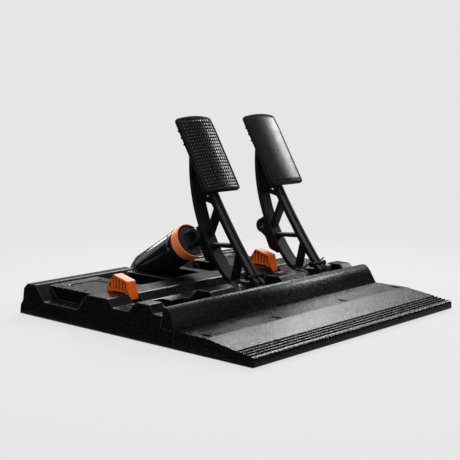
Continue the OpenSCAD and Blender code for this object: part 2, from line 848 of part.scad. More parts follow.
module bracket_screws() {
    color(steel) from_front() for (x = [brake_x, throttle_x]) bracket_screw_places(x) union() {
        translate([0, 0, -wall + 2 * tiny]) cylinder(r = bracket_screw_r, h = plate_t + wall - 2 * tiny);
        translate([0, 0, plate_t]) difference() {
            cylinder(r = bracket_screw_head_r, h = 3.5);
            translate([0, 0, 1.5]) cylinder(r = 1.9, h = 3, $fn = 6);
        }
    }
}

module bush_pair() {
    for (side = [0, 180]) rotate([0, 0, side]) difference() {
        union() {
            rod_x(bush_r, cheek_in, cheek_out);
            rod_x(bush_flange_r, cheek_in - bush_flange_t, cheek_in);
        }
        rod_x(axle_r + run_gap, cheek_in - 2 * bush_flange_t, cheek_out + 1);
    }
}

module brake_bushes() {
    color(zinc) at_pivot(brake_x) bush_pair();
}

module throttle_bushes() {
    color(zinc) at_pivot(throttle_x) bush_pair();
}

module rest_bumper() {
    across(bumper_w) rounded([
        [bumper_y[0], bumper_top - bumper_h], [bumper_y[1], bumper_top - bumper_h],
        [bumper_y[1], bumper_top], [bumper_y[0], bumper_top]
    ], [0, 0, 2, 2]);
}

module brake_bumper() {
    color(rubber) at_pivot(brake_x) rest_bumper();
}

module throttle_bumper() {
    color(rubber) at_pivot(throttle_x) rest_bumper();
}

// Pedal arms

module rear_chord() {
    foot = rear_chord_foot - rear_arc_c;
    head = rear_chord_head - rear_arc_c;
    a0 = atan2(foot[1], foot[0]);
    a1 = atan2(head[1], head[0]);
    steps = 8;
    a = [for (i = [0 : steps]) a0 + (a1 - a0) * i / steps];
    translate(rear_arc_c) intersection() {
        difference() {
            circle(r = rear_arc_r, $fn = 256);
            circle(r = rear_arc_r - chord_t, $fn = 256);
        }
        polygon(concat([[0, 0]], [for (t = a) 1.2 * rear_arc_r * [cos(t), sin(t)]]));
    }
}

module front_chord(inner, outer) {
    foot = front_chord_foot - front_arc_c;
    head = front_chord_head - front_arc_c;
    a0 = atan2(foot[1], foot[0]);
    a1 = atan2(head[1], head[0]) + front_arc_extra;
    translate(front_arc_c) intersection() {
        difference() {
            circle(r = front_arc_r + outer, $fn = 512);
            circle(r = front_arc_r + inner, $fn = 512);
        }
        polygon([[0, 0], 1.1 * front_arc_r * [cos(a0), sin(a0)], 1.1 * front_arc_r * [cos(a1), sin(a1)]]);
    }
}

// Space between the two chords, from the foot to the head
module chord_space() {
    difference() {
        intersection() {
            translate(rear_arc_c) circle(r = rear_arc_r - chord_t / 2, $fn = 256);
            polygon(chord_space_clip);
        }
        translate(front_arc_c) circle(r = front_arc_r, $fn = 512);
    }
}

// Struts, with a boss round the cross pin
module arm_struts() {
    difference() {
        chord_space();
        for (pts = arm_openings) polygon(pts);
    }
    intersection() {
        chord_space();
        translate(cross_pin) circle(r = cross_pin_r + cross_pin_wall);
    }
}

module lug_plate() {
    difference() {
        union() {
            rounded(lug_outline, lug_corner_r);
            translate(lug) circle(r = lug_r);
        }
        translate(lug) circle(r = pin_r + press_gap);
    }
}

// Plate behind the pad
module head_plate() {
    translate([0, pad_foot[0], pad_foot[1]]) rotate([90 - pad_tilt, 0, 0]) difference() {
        translate([-head_w / 2, head_from, -pad_t - head_gap - head_t]) cube([head_w, head_to - head_from, head_t]);
        for (sx = [-1, 1]) for (y = pad_screw_ys)
            translate([sx * pad_screw_x, y, -pad_t - head_t - 1])
                cylinder(r = pad_screw_r + press_gap, h = head_t + 2);
    }
}

// Web that carries the plate, seen from the side
module head_web() {
    translate(pad_foot) rotate(-pad_tilt) translate([pad_t + head_gap + head_t - 1, head_from + 1])
        square([head_web_h + 1, head_web_to - head_from]);
}

// Struts and head web, with a pocket in each side of the web
module arm_webs() {
    difference() {
        across(strut_w) union() {
            arm_struts();
            head_web();
        }
        along_x(head_web_t / 2, strut_w) polygon(head_pocket);
        along_x(-strut_w, -head_web_t / 2) polygon(head_pocket);
    }
}

module pedal_arm() {
    difference() {
        union() {
            across(rear_chord_w) rear_chord();
            difference() {
                across(front_chord_w) front_chord(-chord_t / 2, chord_t / 2);
                across(chord_groove_w) front_chord(-chord_t / 2 - 1, chord_groove_t - chord_t / 2);
            }
            arm_webs();
            across(hub_w) polygon(foot_outline);
            rod_x(hub_r, -hub_w / 2, hub_w / 2);
            across(lug_w) lug_plate();
            head_plate();
        }
        across(front_chord_w + 1) polygon(head_opening);
        rod_x(axle_r + press_gap, -hub_w, hub_w);
        translate([0, cross_pin[0], cross_pin[1]]) rod_x(cross_pin_r + press_gap, -hub_w, hub_w);
        translate([0, lug[0], lug[1]]) rod_x(pin_r + press_gap, -hub_w, hub_w);
    }
}

module brake_arm() {
    color(black) at_pivot(brake_x) pedal_arm();
}

module throttle_arm() {
    color(black) at_pivot(throttle_x) pedal_arm();
}

module axle(left, right) {
    head_t = 3;
    union() {
        rod_x(axle_r, -left, right);
        rod_x(axle_r + 3, -left - head_t, -left);
    }
}

module brake_axle() {
    color(steel) at_pivot(brake_x) axle(cheek_out + free_gap, cheek_out + 3);
}

module brake_axle_clip() {
    color(steel) at_pivot(brake_x) difference() {
        rod_x(axle_r + 3.5, cheek_out + free_gap, cheek_out + 1.6);
        rod_x(axle_r + press_gap, cheek_out, cheek_out + 2);
    }
}

module throttle_axle() {
    color(steel) at_pivot(throttle_x) axle(cheek_out + free_gap, cheek_out + 1);
}

module brake_spacers() {
    color(zinc) at_pivot(brake_x) for (side = [0, 180]) rotate([0, 0, side]) difference() {
        rod_x(axle_r + 3, hub_w / 2 + 0.1, cheek_in - bush_flange_t - free_gap);
        rod_x(axle_r + press_gap, 0, cheek_in);
    }
}

module cross_bolt() {
    translate([0, cross_pin[0], cross_pin[1]]) union() {
        rod_x(cross_pin_r, -cross_pin_half, cross_pin_half);
        rod_x(cross_pin_head_r, -cross_pin_half, cross_pin_head_t - cross_pin_half);
        rod_x(cross_pin_head_r, cross_pin_half - cross_pin_head_t, cross_pin_half);
    }
}

module brake_cross_pin() {
    color(steel) at_pivot(brake_x) cross_bolt();
}

module throttle_cross_pin() {
    color(steel) at_pivot(throttle_x) cross_bolt();
}

module fork_pin() {
    half = fork_out + free_gap;
    color(steel) at_pivot(brake_x) translate([0, lug[0], lug[1]]) union() {
        rod_x(pin_r, -half, half);
        rod_x(fork_pin_head_r, half, half + fork_pin_head_t);
        rod_x(fork_pin_head_r, -half - fork_pin_head_t, -half);
    }
}

// Pads, drawn flat: X across, Y up the pad, Z towards the driver

module at_pad(x) {
    at_pivot(x) translate([0, pad_foot[0], pad_foot[1]]) rotate([90 - pad_tilt, 0, 0]) children();
}

module pad_plan(inset) {
    side = pad_w / 2 - inset;
    r = pad_corner_r - inset;
    top = [for (i = [0 : pad_arch_steps])
        let (x = 1 - 2 * i / pad_arch_steps) [side * x, pad_len - inset + pad_arch * (1 - x * x)]];
    rounded(
        concat([[-side, inset], [side, inset]], top),
        concat([r, r, r], [for (i = [2 : pad_arch_steps]) 0], [r])
    );
}

// Short ribs behind the upper part of a pad, which end near its sides
module pad_back_ribs() {
    for (side = [-1, 1]) for (y = pad_rib_ys)
        box_between(
            [side < 0 ? pad_rib_inset - pad_w / 2 : pad_rib_from, y - pad_rib_w / 2, -pad_t - pad_rib_h],
            [side < 0 ? -pad_rib_from : pad_w / 2 - pad_rib_inset, y + pad_rib_w / 2, 1 - pad_t]
        );
}

// Pad solid whose crowned face is lowered by the given depth
module pad_solid(depth) {
    intersection() {
        translate([0, 0, -pad_t]) linear_extrude(height = pad_t + pad_crown + 1) pad_plan(0);
        translate([0, pad_len + 10, pad_crown - pad_cross_r]) rotate([90, 0, 0])
            cylinder(r = pad_cross_r - depth, h = pad_len + 20, $fn = 360);
        translate([0, pad_curl_y, pad_crown - pad_curl_r]) rod_x(pad_curl_r - depth, -pad_w, pad_w, $fn = 1440);
    }
}

module pad_screw_holes() {
    for (sx = [-1, 1]) for (y = pad_screw_ys)
        translate([sx * pad_screw_x, y, -pad_t - 1])
            cylinder(r = pad_screw_r + press_gap, h = pad_screw_depth + 1);
}

module pad_studs() {
    columns = floor((pad_w - 2 * pad_rim - 1) / stud_pitch);
    rows = floor((pad_len - 2 * pad_rim - 1) / stud_pitch);
    for (i = [0 : columns - 1]) for (j = [0 : rows - 1])
        translate([(i - (columns - 1) / 2) * stud_pitch, pad_len / 2 + (j - (rows - 1) / 2) * stud_pitch])
            square(stud_w, center = true);
}

module brake_pad() {
    color(black) at_pad(brake_x) difference() {
        union() {
            pad_back_ribs();
            pad_solid(stud_h);
            intersection() {
                pad_solid(0);
                translate([0, 0, -pad_t]) linear_extrude(height = pad_t + pad_crown + 1) union() {
                    difference() {
                        pad_plan(0);
                        pad_plan(pad_rim);
                    }
                    intersection() {
                        pad_plan(pad_rim + 0.5);
                        pad_studs();
                    }
                }
            }
        }
        pad_screw_holes();
    }
}

module throttle_pad() {
    color(black) at_pad(throttle_x) difference() {
        union() {
            pad_back_ribs();
            pad_solid(0);
        }
        pad_screw_holes();
    }
}

module pad_screws() {
    back = -pad_t - head_gap - head_t;
    for (sx = [-1, 1]) for (y = pad_screw_ys) translate([sx * pad_screw_x, y, back]) union() {
        cylinder(r = pad_screw_r, h = head_t + head_gap + pad_screw_depth - 0.5);
        translate([0, 0, -pad_screw_head_t]) cylinder(r = pad_screw_head_r, h = pad_screw_head_t);
    }
}

module brake_pad_screws() {
    color(steel) at_pad(brake_x) pad_screws();
}

module throttle_pad_screws() {
    color(steel) at_pad(throttle_x) pad_screws();
}

// Throttle sensor and springs

sensor_gap = 0.3;
sensor_w = 9.5;
sensor_half = 12;
magnet_r = 3;
magnet_t = 2.5;

module throttle_sensor() {
    x0 = cheek_out + sensor_gap;
    color(dark) at_pivot(throttle_x) difference() {
        along_x(x0, x0 + sensor_w) rounded([
            [-sensor_half, -sensor_half], [sensor_half, -sensor_half],
            [sensor_half, sensor_half], [-sensor_half, sensor_half]
        ], 4);
        rod_x(axle_r + 1, x0 - 1, cheek_out + 1 + magnet_t + 1);
    }
}

module sensor_magnet() {
    color(zinc) at_pivot(throttle_x) rod_x(magnet_r, cheek_out + 1, cheek_out + 1 + magnet_t);
}

// Wire of one spring as rings of points: post leg, coils, then the leg over the cross pin
function spring_radial(a) = [0, cos(a), sin(a)];
function spring_tangent(a) = [0, -sin(a), cos(a)];
coil_end = 360 * coil_turns + leg_angle;
coil_angles = concat([for (a = [0 : 360 / rings_per_turn : coil_end - 1]) a], [coil_end]);
coil_out = coil_from + coil_pitch * coil_end / 360;
function coil_point(a) = coil_r * spring_radial(a) + [coil_out - coil_pitch * a / 360, 0, 0];
wire_path = concat(
    [coil_point(0) - post_leg_len * spring_tangent(0)],
    [for (a = coil_angles) coil_point(a)],
    [coil_point(coil_end) + leg_len * spring_tangent(coil_end)]
);
wire_normals = concat(
    [spring_radial(0)], [for (a = coil_angles) spring_radial(a)], [spring_radial(coil_end)]
);
wire_gap = min([for (i = [0 : len(wire_path) - 1]) for (j = [i + rings_per_turn - 1 : len(wire_path) - 1])
    if (j > i + rings_per_turn / 2) norm(wire_path[i] - wire_path[j])]) - 2 * wire_r;
echo(least_gap_between_spring_turns = wire_gap);

module spring_tube() {
    rings = len(wire_path);
    points = [for (i = [0 : rings - 1]) for (k = [0 : wire_sides - 1])
        let (a = 360 * k / wire_sides)
        wire_path[i] + wire_r * (cos(a) * wire_normals[i] + sin(a) * [1, 0, 0])];
    function at(i, k) = i * wire_sides + k % wire_sides;
    sides = [for (i = [0 : rings - 2]) for (k = [0 : wire_sides - 1])
        each [[at(i, k), at(i, k + 1), at(i + 1, k + 1)], [at(i, k), at(i + 1, k + 1), at(i + 1, k)]]];
    caps = [for (k = [1 : wire_sides - 2])
        each [[at(0, 0), at(0, k + 1), at(0, k)], [at(rings - 1, 0), at(rings - 1, k), at(rings - 1, k + 1)]]];
    polyhedron(points, concat(sides, caps));
}

module throttle_springs() {
    color(zinc) at_pivot(throttle_x) union() {
        spring_tube();
        mirror([1, 0, 0]) spring_tube();
    }
}

// Damper, drawn along Z from the fork pin

module at_damper() {
    from_front() translate([brake_x, damper_y, damper_z]) rotate([-90 - damper_tilt, 0, 0]) children();
}

module tube(r_out, r_in, from, to) {
    translate([0, 0, from]) difference() {
        cylinder(r = r_out, h = to - from);
        translate([0, 0, -1]) cylinder(r = r_in, h = to - from + 2);
    }
}

module damper_body() {
    color(black) at_damper() rotate_extrude($fn = 128) difference() {
        rounded([
            [0, neck_from], [neck_r, neck_from], [neck_r, body_from], [collar_r, body_from],
            [collar_r, body_from + collar_len], [body_r, body_from + collar_len], [body_r, body_to], [0, body_to]
        ], [0, 0.5, 0, 1, 0.5, 0, 0, 0]);
        translate([0, neck_from - 1]) square([bore_r, body_to - neck_from + 2]);
    }
}

module damper_rear_cap() {
    plug = body_to - load_cell_to - 0.2;
    color(dark) at_damper() difference() {
        rotate_extrude($fn = 128) rounded([
            [0, body_to - plug], [bore_r - press_gap, body_to - plug], [bore_r - press_gap, body_to],
            [body_r, body_to], [body_r, body_to + rear_cap_straight],
            [rear_cap_nose_r, rear_cap_to], [0, rear_cap_to]
        ], [0, 0.5, 0, 0.8, 4, 3, 0]);
        translate([0, 0, rear_pivot_at]) rod_x(pin_r + run_gap, -body_r - 1, body_r + 1);
    }
}

module load_cell() {
    color(zinc) at_damper() tube(bore_r - press_gap, stem_r + 1, load_cell_from, load_cell_to);
}

module elastomers() {
    color("#8a3a1a") at_damper() for (i = [0 : elastomer_count - 1]) {
        from = piston_to + elastomer_gap + i * (elastomer_len + elastomer_gap);
        tube(elastomer_r, stem_r + 0.5, from, from + elastomer_len);
    }
}

module brake_piston() {
    color(dark) at_damper() difference() {
        union() {
            translate([0, 0, piston_from]) cylinder(r = piston_r, h = piston_len, $fn = 128);
            translate([0, 0, piston_from]) cylinder(r = stem_r, h = stem_to - piston_from);
            for (side = [0, 180]) rotate([0, 0, side]) fork_ear();
        }
        tube(piston_r + 1, bore_r - 2.2 * seal_r, seal_at - 1.1 * seal_r, seal_at + 1.1 * seal_r);
        box_between([-fork_in, -body_r, -body_r], [fork_in, body_r, piston_from]);
    }
}

module fork_ear() {
    translate([fork_in, 0, 0]) rotate([0, 90, 0]) linear_extrude(height = fork_t) difference() {
        union() {
            circle(r = fork_r);
            translate([-piston_from - 1, -fork_r]) square([piston_from + 1, 2 * fork_r]);
        }
        circle(r = pin_r + fork_gap);
    }
}

module piston_seal() {
    color(rubber) at_damper() translate([0, 0, seal_at]) rotate_extrude($fn = 96)
        translate([seal_ring_r, 0]) circle(r = seal_r, $fn = 24);
}

module preload_ring() {
    color(orange) at_damper() rotate_extrude($fn = 128) rounded([
        [ring_bore_r, ring_from], [ring_r, ring_from], [ring_r, ring_to], [ring_bore_r, ring_to]
    ], [0.3, 0.9, 0.9, 0]);
}

module damper_pivot_pin() {
    color(steel) at_damper() translate([0, 0, rear_pivot_at])
        rod_x(pin_r, -pivot_pin_half + 1, pivot_pin_half - 1);
}

// Latches

module at_latch(x) {
    from_front() translate([x - latch_x, 0, 0]) children();
}

module latch(x) {
    at_latch(x) difference() {
        union() {
            difference() {
                along_x(0, latch_w) rounded(latch_outline, latch_corner_r);
                along_x(-1, latch_recess_depth) rounded(latch_recess, 1);
            }
            intersection() {
                along_x(latch_recess_depth - rib_depth, latch_recess_depth + 1) rounded(latch_recess, 1);
                for (i = [0 : latch_ribs - 1])
                    box_between(
                        [0, rib_from + i * rib_pitch, latch_base_z],
                        [latch_w, rib_from + i * rib_pitch + rib_t, latch_z]
                    );
            }
            translate([0, latch_pivot_y, latch_pivot_z]) rod_x(latch_eye_r, 0, latch_w);
        }
        translate([0, latch_pivot_y, latch_pivot_z]) rod_x(latch_pin_r + run_gap, -1, latch_w + 1);
    }
}

module spare_bay_latch() {
    color(orange) latch(spare_x);
}

module throttle_latch() {
    color(orange) latch(throttle_x);
}

module latch_pins() {
    color(steel) for (x = latched_bays) at_latch(x)
        translate([latch_w / 2, latch_pivot_y, latch_pivot_z])
            rod_x(latch_pin_r, 0.5 - latch_pin_half, latch_pin_half - 0.5);
}

base_tray();
heel_plate();
heel_bar();
rubber_feet();
heel_plate_screws();
heel_bar_screws();
control_box();
usb_socket();
brake_bracket();
throttle_bracket();
bracket_screws();
brake_bushes();
throttle_bushes();
brake_bumper();
throttle_bumper();
brake_arm();
brake_pad();
brake_pad_screws();
brake_axle();
brake_axle_clip();
brake_spacers();
brake_cross_pin();
fork_pin();
throttle_arm();
throttle_pad();
throttle_pad_screws();
throttle_axle();
throttle_cross_pin();
sensor_magnet();
throttle_sensor();
throttle_springs();
damper_body();
damper_rear_cap();
load_cell();
elastomers();
brake_piston();
piston_seal();
preload_ring();
damper_pivot_pin();
spare_bay_latch();
throttle_latch();
latch_pins();
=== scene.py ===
"""Looks of a sim racing pedal set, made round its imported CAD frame."""

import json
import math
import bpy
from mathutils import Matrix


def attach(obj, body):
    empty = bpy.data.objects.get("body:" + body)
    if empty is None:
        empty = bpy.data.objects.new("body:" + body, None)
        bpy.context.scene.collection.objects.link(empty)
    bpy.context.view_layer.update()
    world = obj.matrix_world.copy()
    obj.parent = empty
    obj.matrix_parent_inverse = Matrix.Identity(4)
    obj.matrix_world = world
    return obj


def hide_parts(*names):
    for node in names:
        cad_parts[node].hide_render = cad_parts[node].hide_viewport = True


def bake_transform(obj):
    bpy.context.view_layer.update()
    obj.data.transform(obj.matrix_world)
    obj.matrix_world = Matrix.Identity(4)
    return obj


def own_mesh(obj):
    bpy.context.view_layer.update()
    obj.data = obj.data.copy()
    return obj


bl_info = {
    "name": "Racing pedal set looks",
    "version": (1, 0, 0),
    "blender": (4, 5, 0),
    "location": "View3D > Sidebar > Pedals",
    "description": "Dresses the CAD frame of a racing pedal set with finished pieces and materials",
    "category": "Object",
}

import bmesh
import bpy
from bpy.props import FloatProperty, FloatVectorProperty, IntProperty, PointerProperty
from mathutils import Matrix, Vector

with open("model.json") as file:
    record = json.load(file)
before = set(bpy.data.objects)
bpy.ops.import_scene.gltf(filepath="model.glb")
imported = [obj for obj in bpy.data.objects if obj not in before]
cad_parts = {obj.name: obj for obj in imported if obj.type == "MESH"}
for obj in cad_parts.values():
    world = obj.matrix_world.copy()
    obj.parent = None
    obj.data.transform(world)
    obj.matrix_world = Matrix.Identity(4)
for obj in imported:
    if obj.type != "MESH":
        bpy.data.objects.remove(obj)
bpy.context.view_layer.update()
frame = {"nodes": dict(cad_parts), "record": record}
NODES = frame["nodes"]
JOINT_PLACES = {joint["name"]: joint.get("pos_m") for joint in frame["record"]["behaviour"]["joints"]}

MM = 0.001
# Both pedals turn at one height, and the preload ring turns round the damper's axis at the fork pin
BRAKE_X, PIVOT_Y, PIVOT_Z = JOINT_PLACES["brake_press"]
THROTTLE_X = JOINT_PLACES["throttle_press"][0]
THROTTLE_PIVOT = Vector((THROTTLE_X, PIVOT_Y, PIVOT_Z))
FORK_PIN = Vector(JOINT_PLACES["preload_ring_turn"])
REAR_PIN = Vector(JOINT_PLACES["damper_swing"])
DAMPER_AXIS = (REAR_PIN - FORK_PIN).normalized()
# Half the width of the base at its foot, and the lean of its sides
BASE_HALF = 200 * MM
SIDE_DRAFT = math.radians(7)


# Settings


def colour_setting(name, description, default):
    return FloatVectorProperty(
        name=name, description=description, default=default, subtype="COLOR", size=3, min=0.0, max=1.0
    )


def length_setting(name, description, default):
    return FloatProperty(
        name=name, description=description, default=default, unit="LENGTH", min=0.0, precision=5
    )


def power_setting(name, description, default):
    return FloatProperty(name=name, description=description, default=default, unit="POWER", min=0.0)


class PedalColours(bpy.types.PropertyGroup):
    moulding: colour_setting(
        "Base moulding", "Grained black of the tray, heel plate and heel bar", (0.0032, 0.0032, 0.0034)
    )
    arm: colour_setting("Arm", "Satin black of the pedal arms", (0.0085, 0.0085, 0.0088))
    pad: colour_setting("Pad", "Black of the pad faces", (0.005, 0.005, 0.0052))
    tube: colour_setting("Damper tube", "Gloss black of the damper", (0.009, 0.009, 0.0092))
    cap: colour_setting("Damper cap", "Matte black of the piston and rear cap", (0.02, 0.02, 0.0203))
    latch: colour_setting("Latch", "Orange of the latches", (0.80, 0.125, 0.006))
    ring: colour_setting("Preload ring", "Orange of the preload ring", (1.0, 0.27, 0.06))
    coat: colour_setting("Powder coat", "Black coat of the brackets", (0.006, 0.006, 0.0063))
    rubber: colour_setting("Rubber", "Black of feet, bumpers and seal", (0.004, 0.004, 0.004))
    steel: colour_setting("Steel", "Plated screws, pins and axles", (0.50, 0.51, 0.52))
    bronze: colour_setting("Bronze", "Plain bearing bushes", (0.46, 0.30, 0.13))
    elastomer: colour_setting("Elastomer", "Polyurethane blocks in the damper", (0.36, 0.085, 0.030))


class PadSizes(bpy.types.PropertyGroup):
    width: length_setting("Width", "Width of a pad", 66 * MM)
    height: length_setting("Length", "Length of a pad along its face", 108 * MM)
    arch: length_setting("Arch", "Rise of the top edge in the middle", 2.2 * MM)
    crown: length_setting("Crown", "Rise of the face in the middle", 4 * MM)
    thickness: length_setting("Thickness", "Thickness of a pad at its sides", 7 * MM)
    corner: length_setting("Corner radius", "Radius of the outline's corners", 4.5 * MM)
    stud_pitch: length_setting("Stud pitch", "Spacing of the brake pad's studs", 4.7 * MM)
    stud_width: length_setting("Stud width", "Width of a stud at its foot", 3.7 * MM)
    stud_height: length_setting("Stud height", "Height of a stud", 1.1 * MM)
    tilt: FloatProperty(
        name="Tilt", description="Lean of the pads from upright", default=math.radians(30.5), subtype="ANGLE"
    )


class EdgeSizes(bpy.types.PropertyGroup):
    tray: length_setting("Tray", "Rounding of the tray's edges", 2.0 * MM)
    arm: length_setting("Arm", "Rounding of the arms' edges", 0.6 * MM)
    latch: length_setting("Latch", "Rounding of the latches' edges", 0.55 * MM)
    rubber: length_setting("Rubber", "Rounding of feet and bumpers", 0.8 * MM)


class RingSizes(bpy.types.PropertyGroup):
    grooves: IntProperty(name="Grooves", description="Turned lines round the preload ring", default=5, min=0)
    groove_depth: length_setting("Groove depth", "Depth of a turned line", 0.3 * MM)


class StageSettings(bpy.types.PropertyGroup):
    backdrop: colour_setting("Backdrop", "Pale colour behind the part", (0.791, 0.791, 0.791))
    key_power: power_setting("Key light", "Power of the soft box on the right", 14.0)
    glare_power: power_setting("Glare light", "Power of the box behind on the right", 26.0)
    edge_power: power_setting("Edge light", "Power of the box high on the right", 11.0)
    strip_power: power_setting("Strip light", "Power of the strip behind", 9.0)
    top_power: power_setting("Top light", "Power of the soft box overhead", 9.0)
    fill_power: power_setting("Fill light", "Power of the light at the front left", 26.0)


def settings(name):
    return getattr(bpy.context.scene, name)


# Materials


class Value:
    """One output of a node, which can be used in sums."""

    def __init__(self, nodes, socket):
        self.nodes = nodes
        self.socket = socket

    def maths(self, operation, first, second):
        return self.nodes.node("ShaderNodeMath", {"operation": operation}, {0: first, 1: second})

    def __add__(self, other):
        return self.maths("ADD", self, other)

    def __radd__(self, other):
        return self.maths("ADD", other, self)

    def __sub__(self, other):
        return self.maths("SUBTRACT", self, other)

    def __rsub__(self, other):
        return self.maths("SUBTRACT", other, self)

    def __mul__(self, other):
        return self.maths("MULTIPLY", self, other)

    def __rmul__(self, other):
        return self.maths("MULTIPLY", other, self)

    def above(self, low, high):
        """0 below low, 1 above high, smooth between."""
        return self.nodes.node(
            "ShaderNodeMapRange",
            {"interpolation_type": "SMOOTHSTEP"},
            {"Value": self, "From Min": low, "From Max": high},
        )


class Nodes:
    """A tree of shader nodes that is put together node by node."""

    def __init__(self, tree):
        self.tree = tree

    def node(self, kind, options=None, inputs=None, output=0):
        made = self.tree.nodes.new(kind)
        for option, value in (options or {}).items():
            setattr(made, option, value)
        for socket, value in (inputs or {}).items():
            self.feed(made.inputs[socket], value)
        return Value(self, made.outputs[output])

    def feed(self, socket, value):
        if isinstance(value, Value):
            self.tree.links.new(value.socket, socket)
        elif hasattr(value, "__len__") and len(value) == 3 and socket.type == "RGBA":
            socket.default_value = (*value, 1.0)
        else:
            socket.default_value = value


class Finish(Nodes):
    """A material with the patterns that its inputs are made of."""

    def __init__(self, name):
        self.material = bpy.data.materials.new(name)
        self.material.use_nodes = True
        super().__init__(self.material.node_tree)
        self.shader = self.tree.nodes["Principled BSDF"]
        self.place = self.node("ShaderNodeTexCoord", output="Object")

    def set(self, **inputs):
        for socket, value in inputs.items():
            self.feed(self.shader.inputs[socket.replace("_", " ")], value)

    def noise(self, scale, detail=2.0, rough=0.5, place=None):
        return self.node(
            "ShaderNodeTexNoise",
            None,
            {"Vector": place or self.place, "Scale": scale, "Detail": detail, "Roughness": rough},
        )

    def cells(self, scale):
        return self.node("ShaderNodeTexVoronoi", None, {"Vector": self.place, "Scale": scale})

    def stretched(self, x, y, z):
        return self.node(
            "ShaderNodeVectorMath", {"operation": "MULTIPLY"}, {0: self.place, 1: (x, y, z)}
        )

    def mix(self, share, first, second):
        sockets = {0: share, 6: first, 7: second}
        return self.node("ShaderNodeMix", {"data_type": "RGBA"}, sockets, output=2)

    def soft_edge(self, radius):
        return self.node("ShaderNodeBevel", {"samples": 8}, {"Radius": radius})

    def edge_mask(self, radius):
        """1 along edges and 0 on flats."""
        flat = self.node("ShaderNodeNewGeometry", output="Normal")
        agree = self.node(
            "ShaderNodeVectorMath",
            {"operation": "DOT_PRODUCT"},
            {0: self.soft_edge(radius), 1: flat},
            output="Value",
        )
        return (1.0 - agree).above(0.01, 0.16)

    def groove_shade_mask(self, reach):
        """1 deep in grooves and 0 in the open, from occlusion, for painting shade into grooves."""
        options = {"samples": 8, "only_local": True}
        open_share = self.node("ShaderNodeAmbientOcclusion", options, {"Distance": reach}, output="AO")
        return 1.0 - open_share.above(0.35, 0.85)

    def bump(self, height, distance, strength, normal=None):
        inputs = {"Height": height, "Distance": distance, "Strength": strength}
        if normal is not None:
            inputs["Normal"] = normal
        return self.node("ShaderNodeBump", None, inputs)


def tint(colour, factor):
    return tuple(min(1.0, channel * factor) for channel in colour)


def grained_plastic(name, colour, grain, depth, rough, specular, edge=0.0):
    """Moulded plastic with a spark-eroded grain, patchy gloss, pale specks painted as glints, and edges
    painted paler, partly as wear and mostly as painted highlight.
    """
    finish = Finish(name)
    fine = finish.noise(grain, detail=1.0, rough=0.55)
    patches = finish.noise(90.0, detail=3.0)
    # Pale specks in the grain, painted ten times paler and half metallic as painted glints.
    glint_specks = finish.noise(1.7 * grain, detail=1.0).above(0.56, 0.7)
    base = finish.mix(fine.above(0.4, 0.62), tint(colour, 0.7), tint(colour, 1.5))
    base = finish.mix(glint_specks, base, tint(colour, 10.0))
    gloss = rough + 0.05 * patches.above(0.3, 0.7)
    shine = 0.5 * glint_specks
    normal = None
    if edge > 0:
        # Edges painted up to 45 times paler and partly metallic: partly wear, mostly painted highlight along
        # the rounded edges.
        edge_wear_and_highlight = finish.edge_mask(edge) * (0.3 + 0.7 * patches.above(0.4, 0.6))
        base = finish.mix(edge_wear_and_highlight, base, tint(colour, 45.0))
        gloss = gloss - 0.06 * edge_wear_and_highlight
        shine = shine + 0.9 * edge_wear_and_highlight
        normal = finish.soft_edge(edge)
    finish.set(
        Base_Color=base,
        Metallic=shine,
        Roughness=gloss,
        Normal=finish.bump(fine, depth, strength=0.8, normal=normal),
        Specular_IOR_Level=specular,
    )
    return finish.material


def satin_plastic(name, colour, rough, specular, edge):
    """Smooth satin moulding with faint flow marks."""
    finish = Finish(name)
    flow = finish.noise(26.0, detail=4.0, rough=0.6, place=finish.stretched(1.0, 1.0, 0.35))
    grain = finish.noise(1500.0)
    # Edges painted paler, partly as wear and partly as painted highlight.
    edge_wear_and_highlight = finish.edge_mask(edge)
    base = finish.mix(flow.above(0.35, 0.7), tint(colour, 0.8), tint(colour, 1.2))
    base = finish.mix(edge_wear_and_highlight * 0.5, base, tint(colour, 2.0))
    finish.set(
        Base_Color=base,
        Roughness=rough + 0.04 * flow.above(0.3, 0.7) - 0.08 * edge_wear_and_highlight,
        Normal=finish.bump(grain, 0.05 * MM, strength=0.5, normal=finish.soft_edge(edge)),
        Specular_IOR_Level=specular,
    )
    return finish.material


def orange_plastic(name, colour, rough, edge):
    """Through-dyed orange moulding, with edges painted paler as wear and painted highlight, and painted
    shade darkening its grooves.
    """
    finish = Finish(name)
    clouds = finish.noise(60.0, detail=3.0)
    grain = finish.noise(1300.0)
    edge_wear_and_highlight = finish.edge_mask(edge)
    base = finish.mix(clouds.above(0.3, 0.7), tint(colour, 0.86), tint(colour, 1.08))
    # Edges painted paler, partly as wear where hands rub and partly as painted highlight.
    base = finish.mix(edge_wear_and_highlight * 0.35, base, tint(colour, 1.35))
    # Grooves between the ribs painted darker by occlusion, as painted shade.
    base = finish.mix(finish.groove_shade_mask(4.0 * MM) * 0.7, base, tint(colour, 0.3))
    finish.set(
        Base_Color=base,
        Roughness=rough + 0.1 * clouds,
        Normal=finish.bump(grain, 0.06 * MM, strength=0.5, normal=finish.soft_edge(edge)),
        Specular_IOR_Level=0.4,
    )
    return finish.material


def turned_metal(name, colour, rough, lines, metallic):
    """Anodised metal with fine lathe lines round the damper's axis."""
    finish = Finish(name)
    along = finish.node(
        "ShaderNodeVectorMath",
        {"operation": "DOT_PRODUCT"},
        {0: finish.place, 1: tuple(DAMPER_AXIS)},
        output="Value",
    )
    spot = finish.node("ShaderNodeCombineXYZ", None, {"X": along * lines})
    turning = finish.noise(1.0, place=spot)
    haze = finish.noise(55.0, detail=3.0)
    base = finish.mix(turning.above(0.35, 0.65), tint(colour, 0.85), tint(colour, 1.1))
    finish.set(
        Base_Color=base,
        Metallic=metallic,
        Roughness=rough + 0.12 * turning + 0.08 * haze,
        Normal=finish.bump(turning, 0.04 * MM, strength=0.6),
    )
    return finish.material


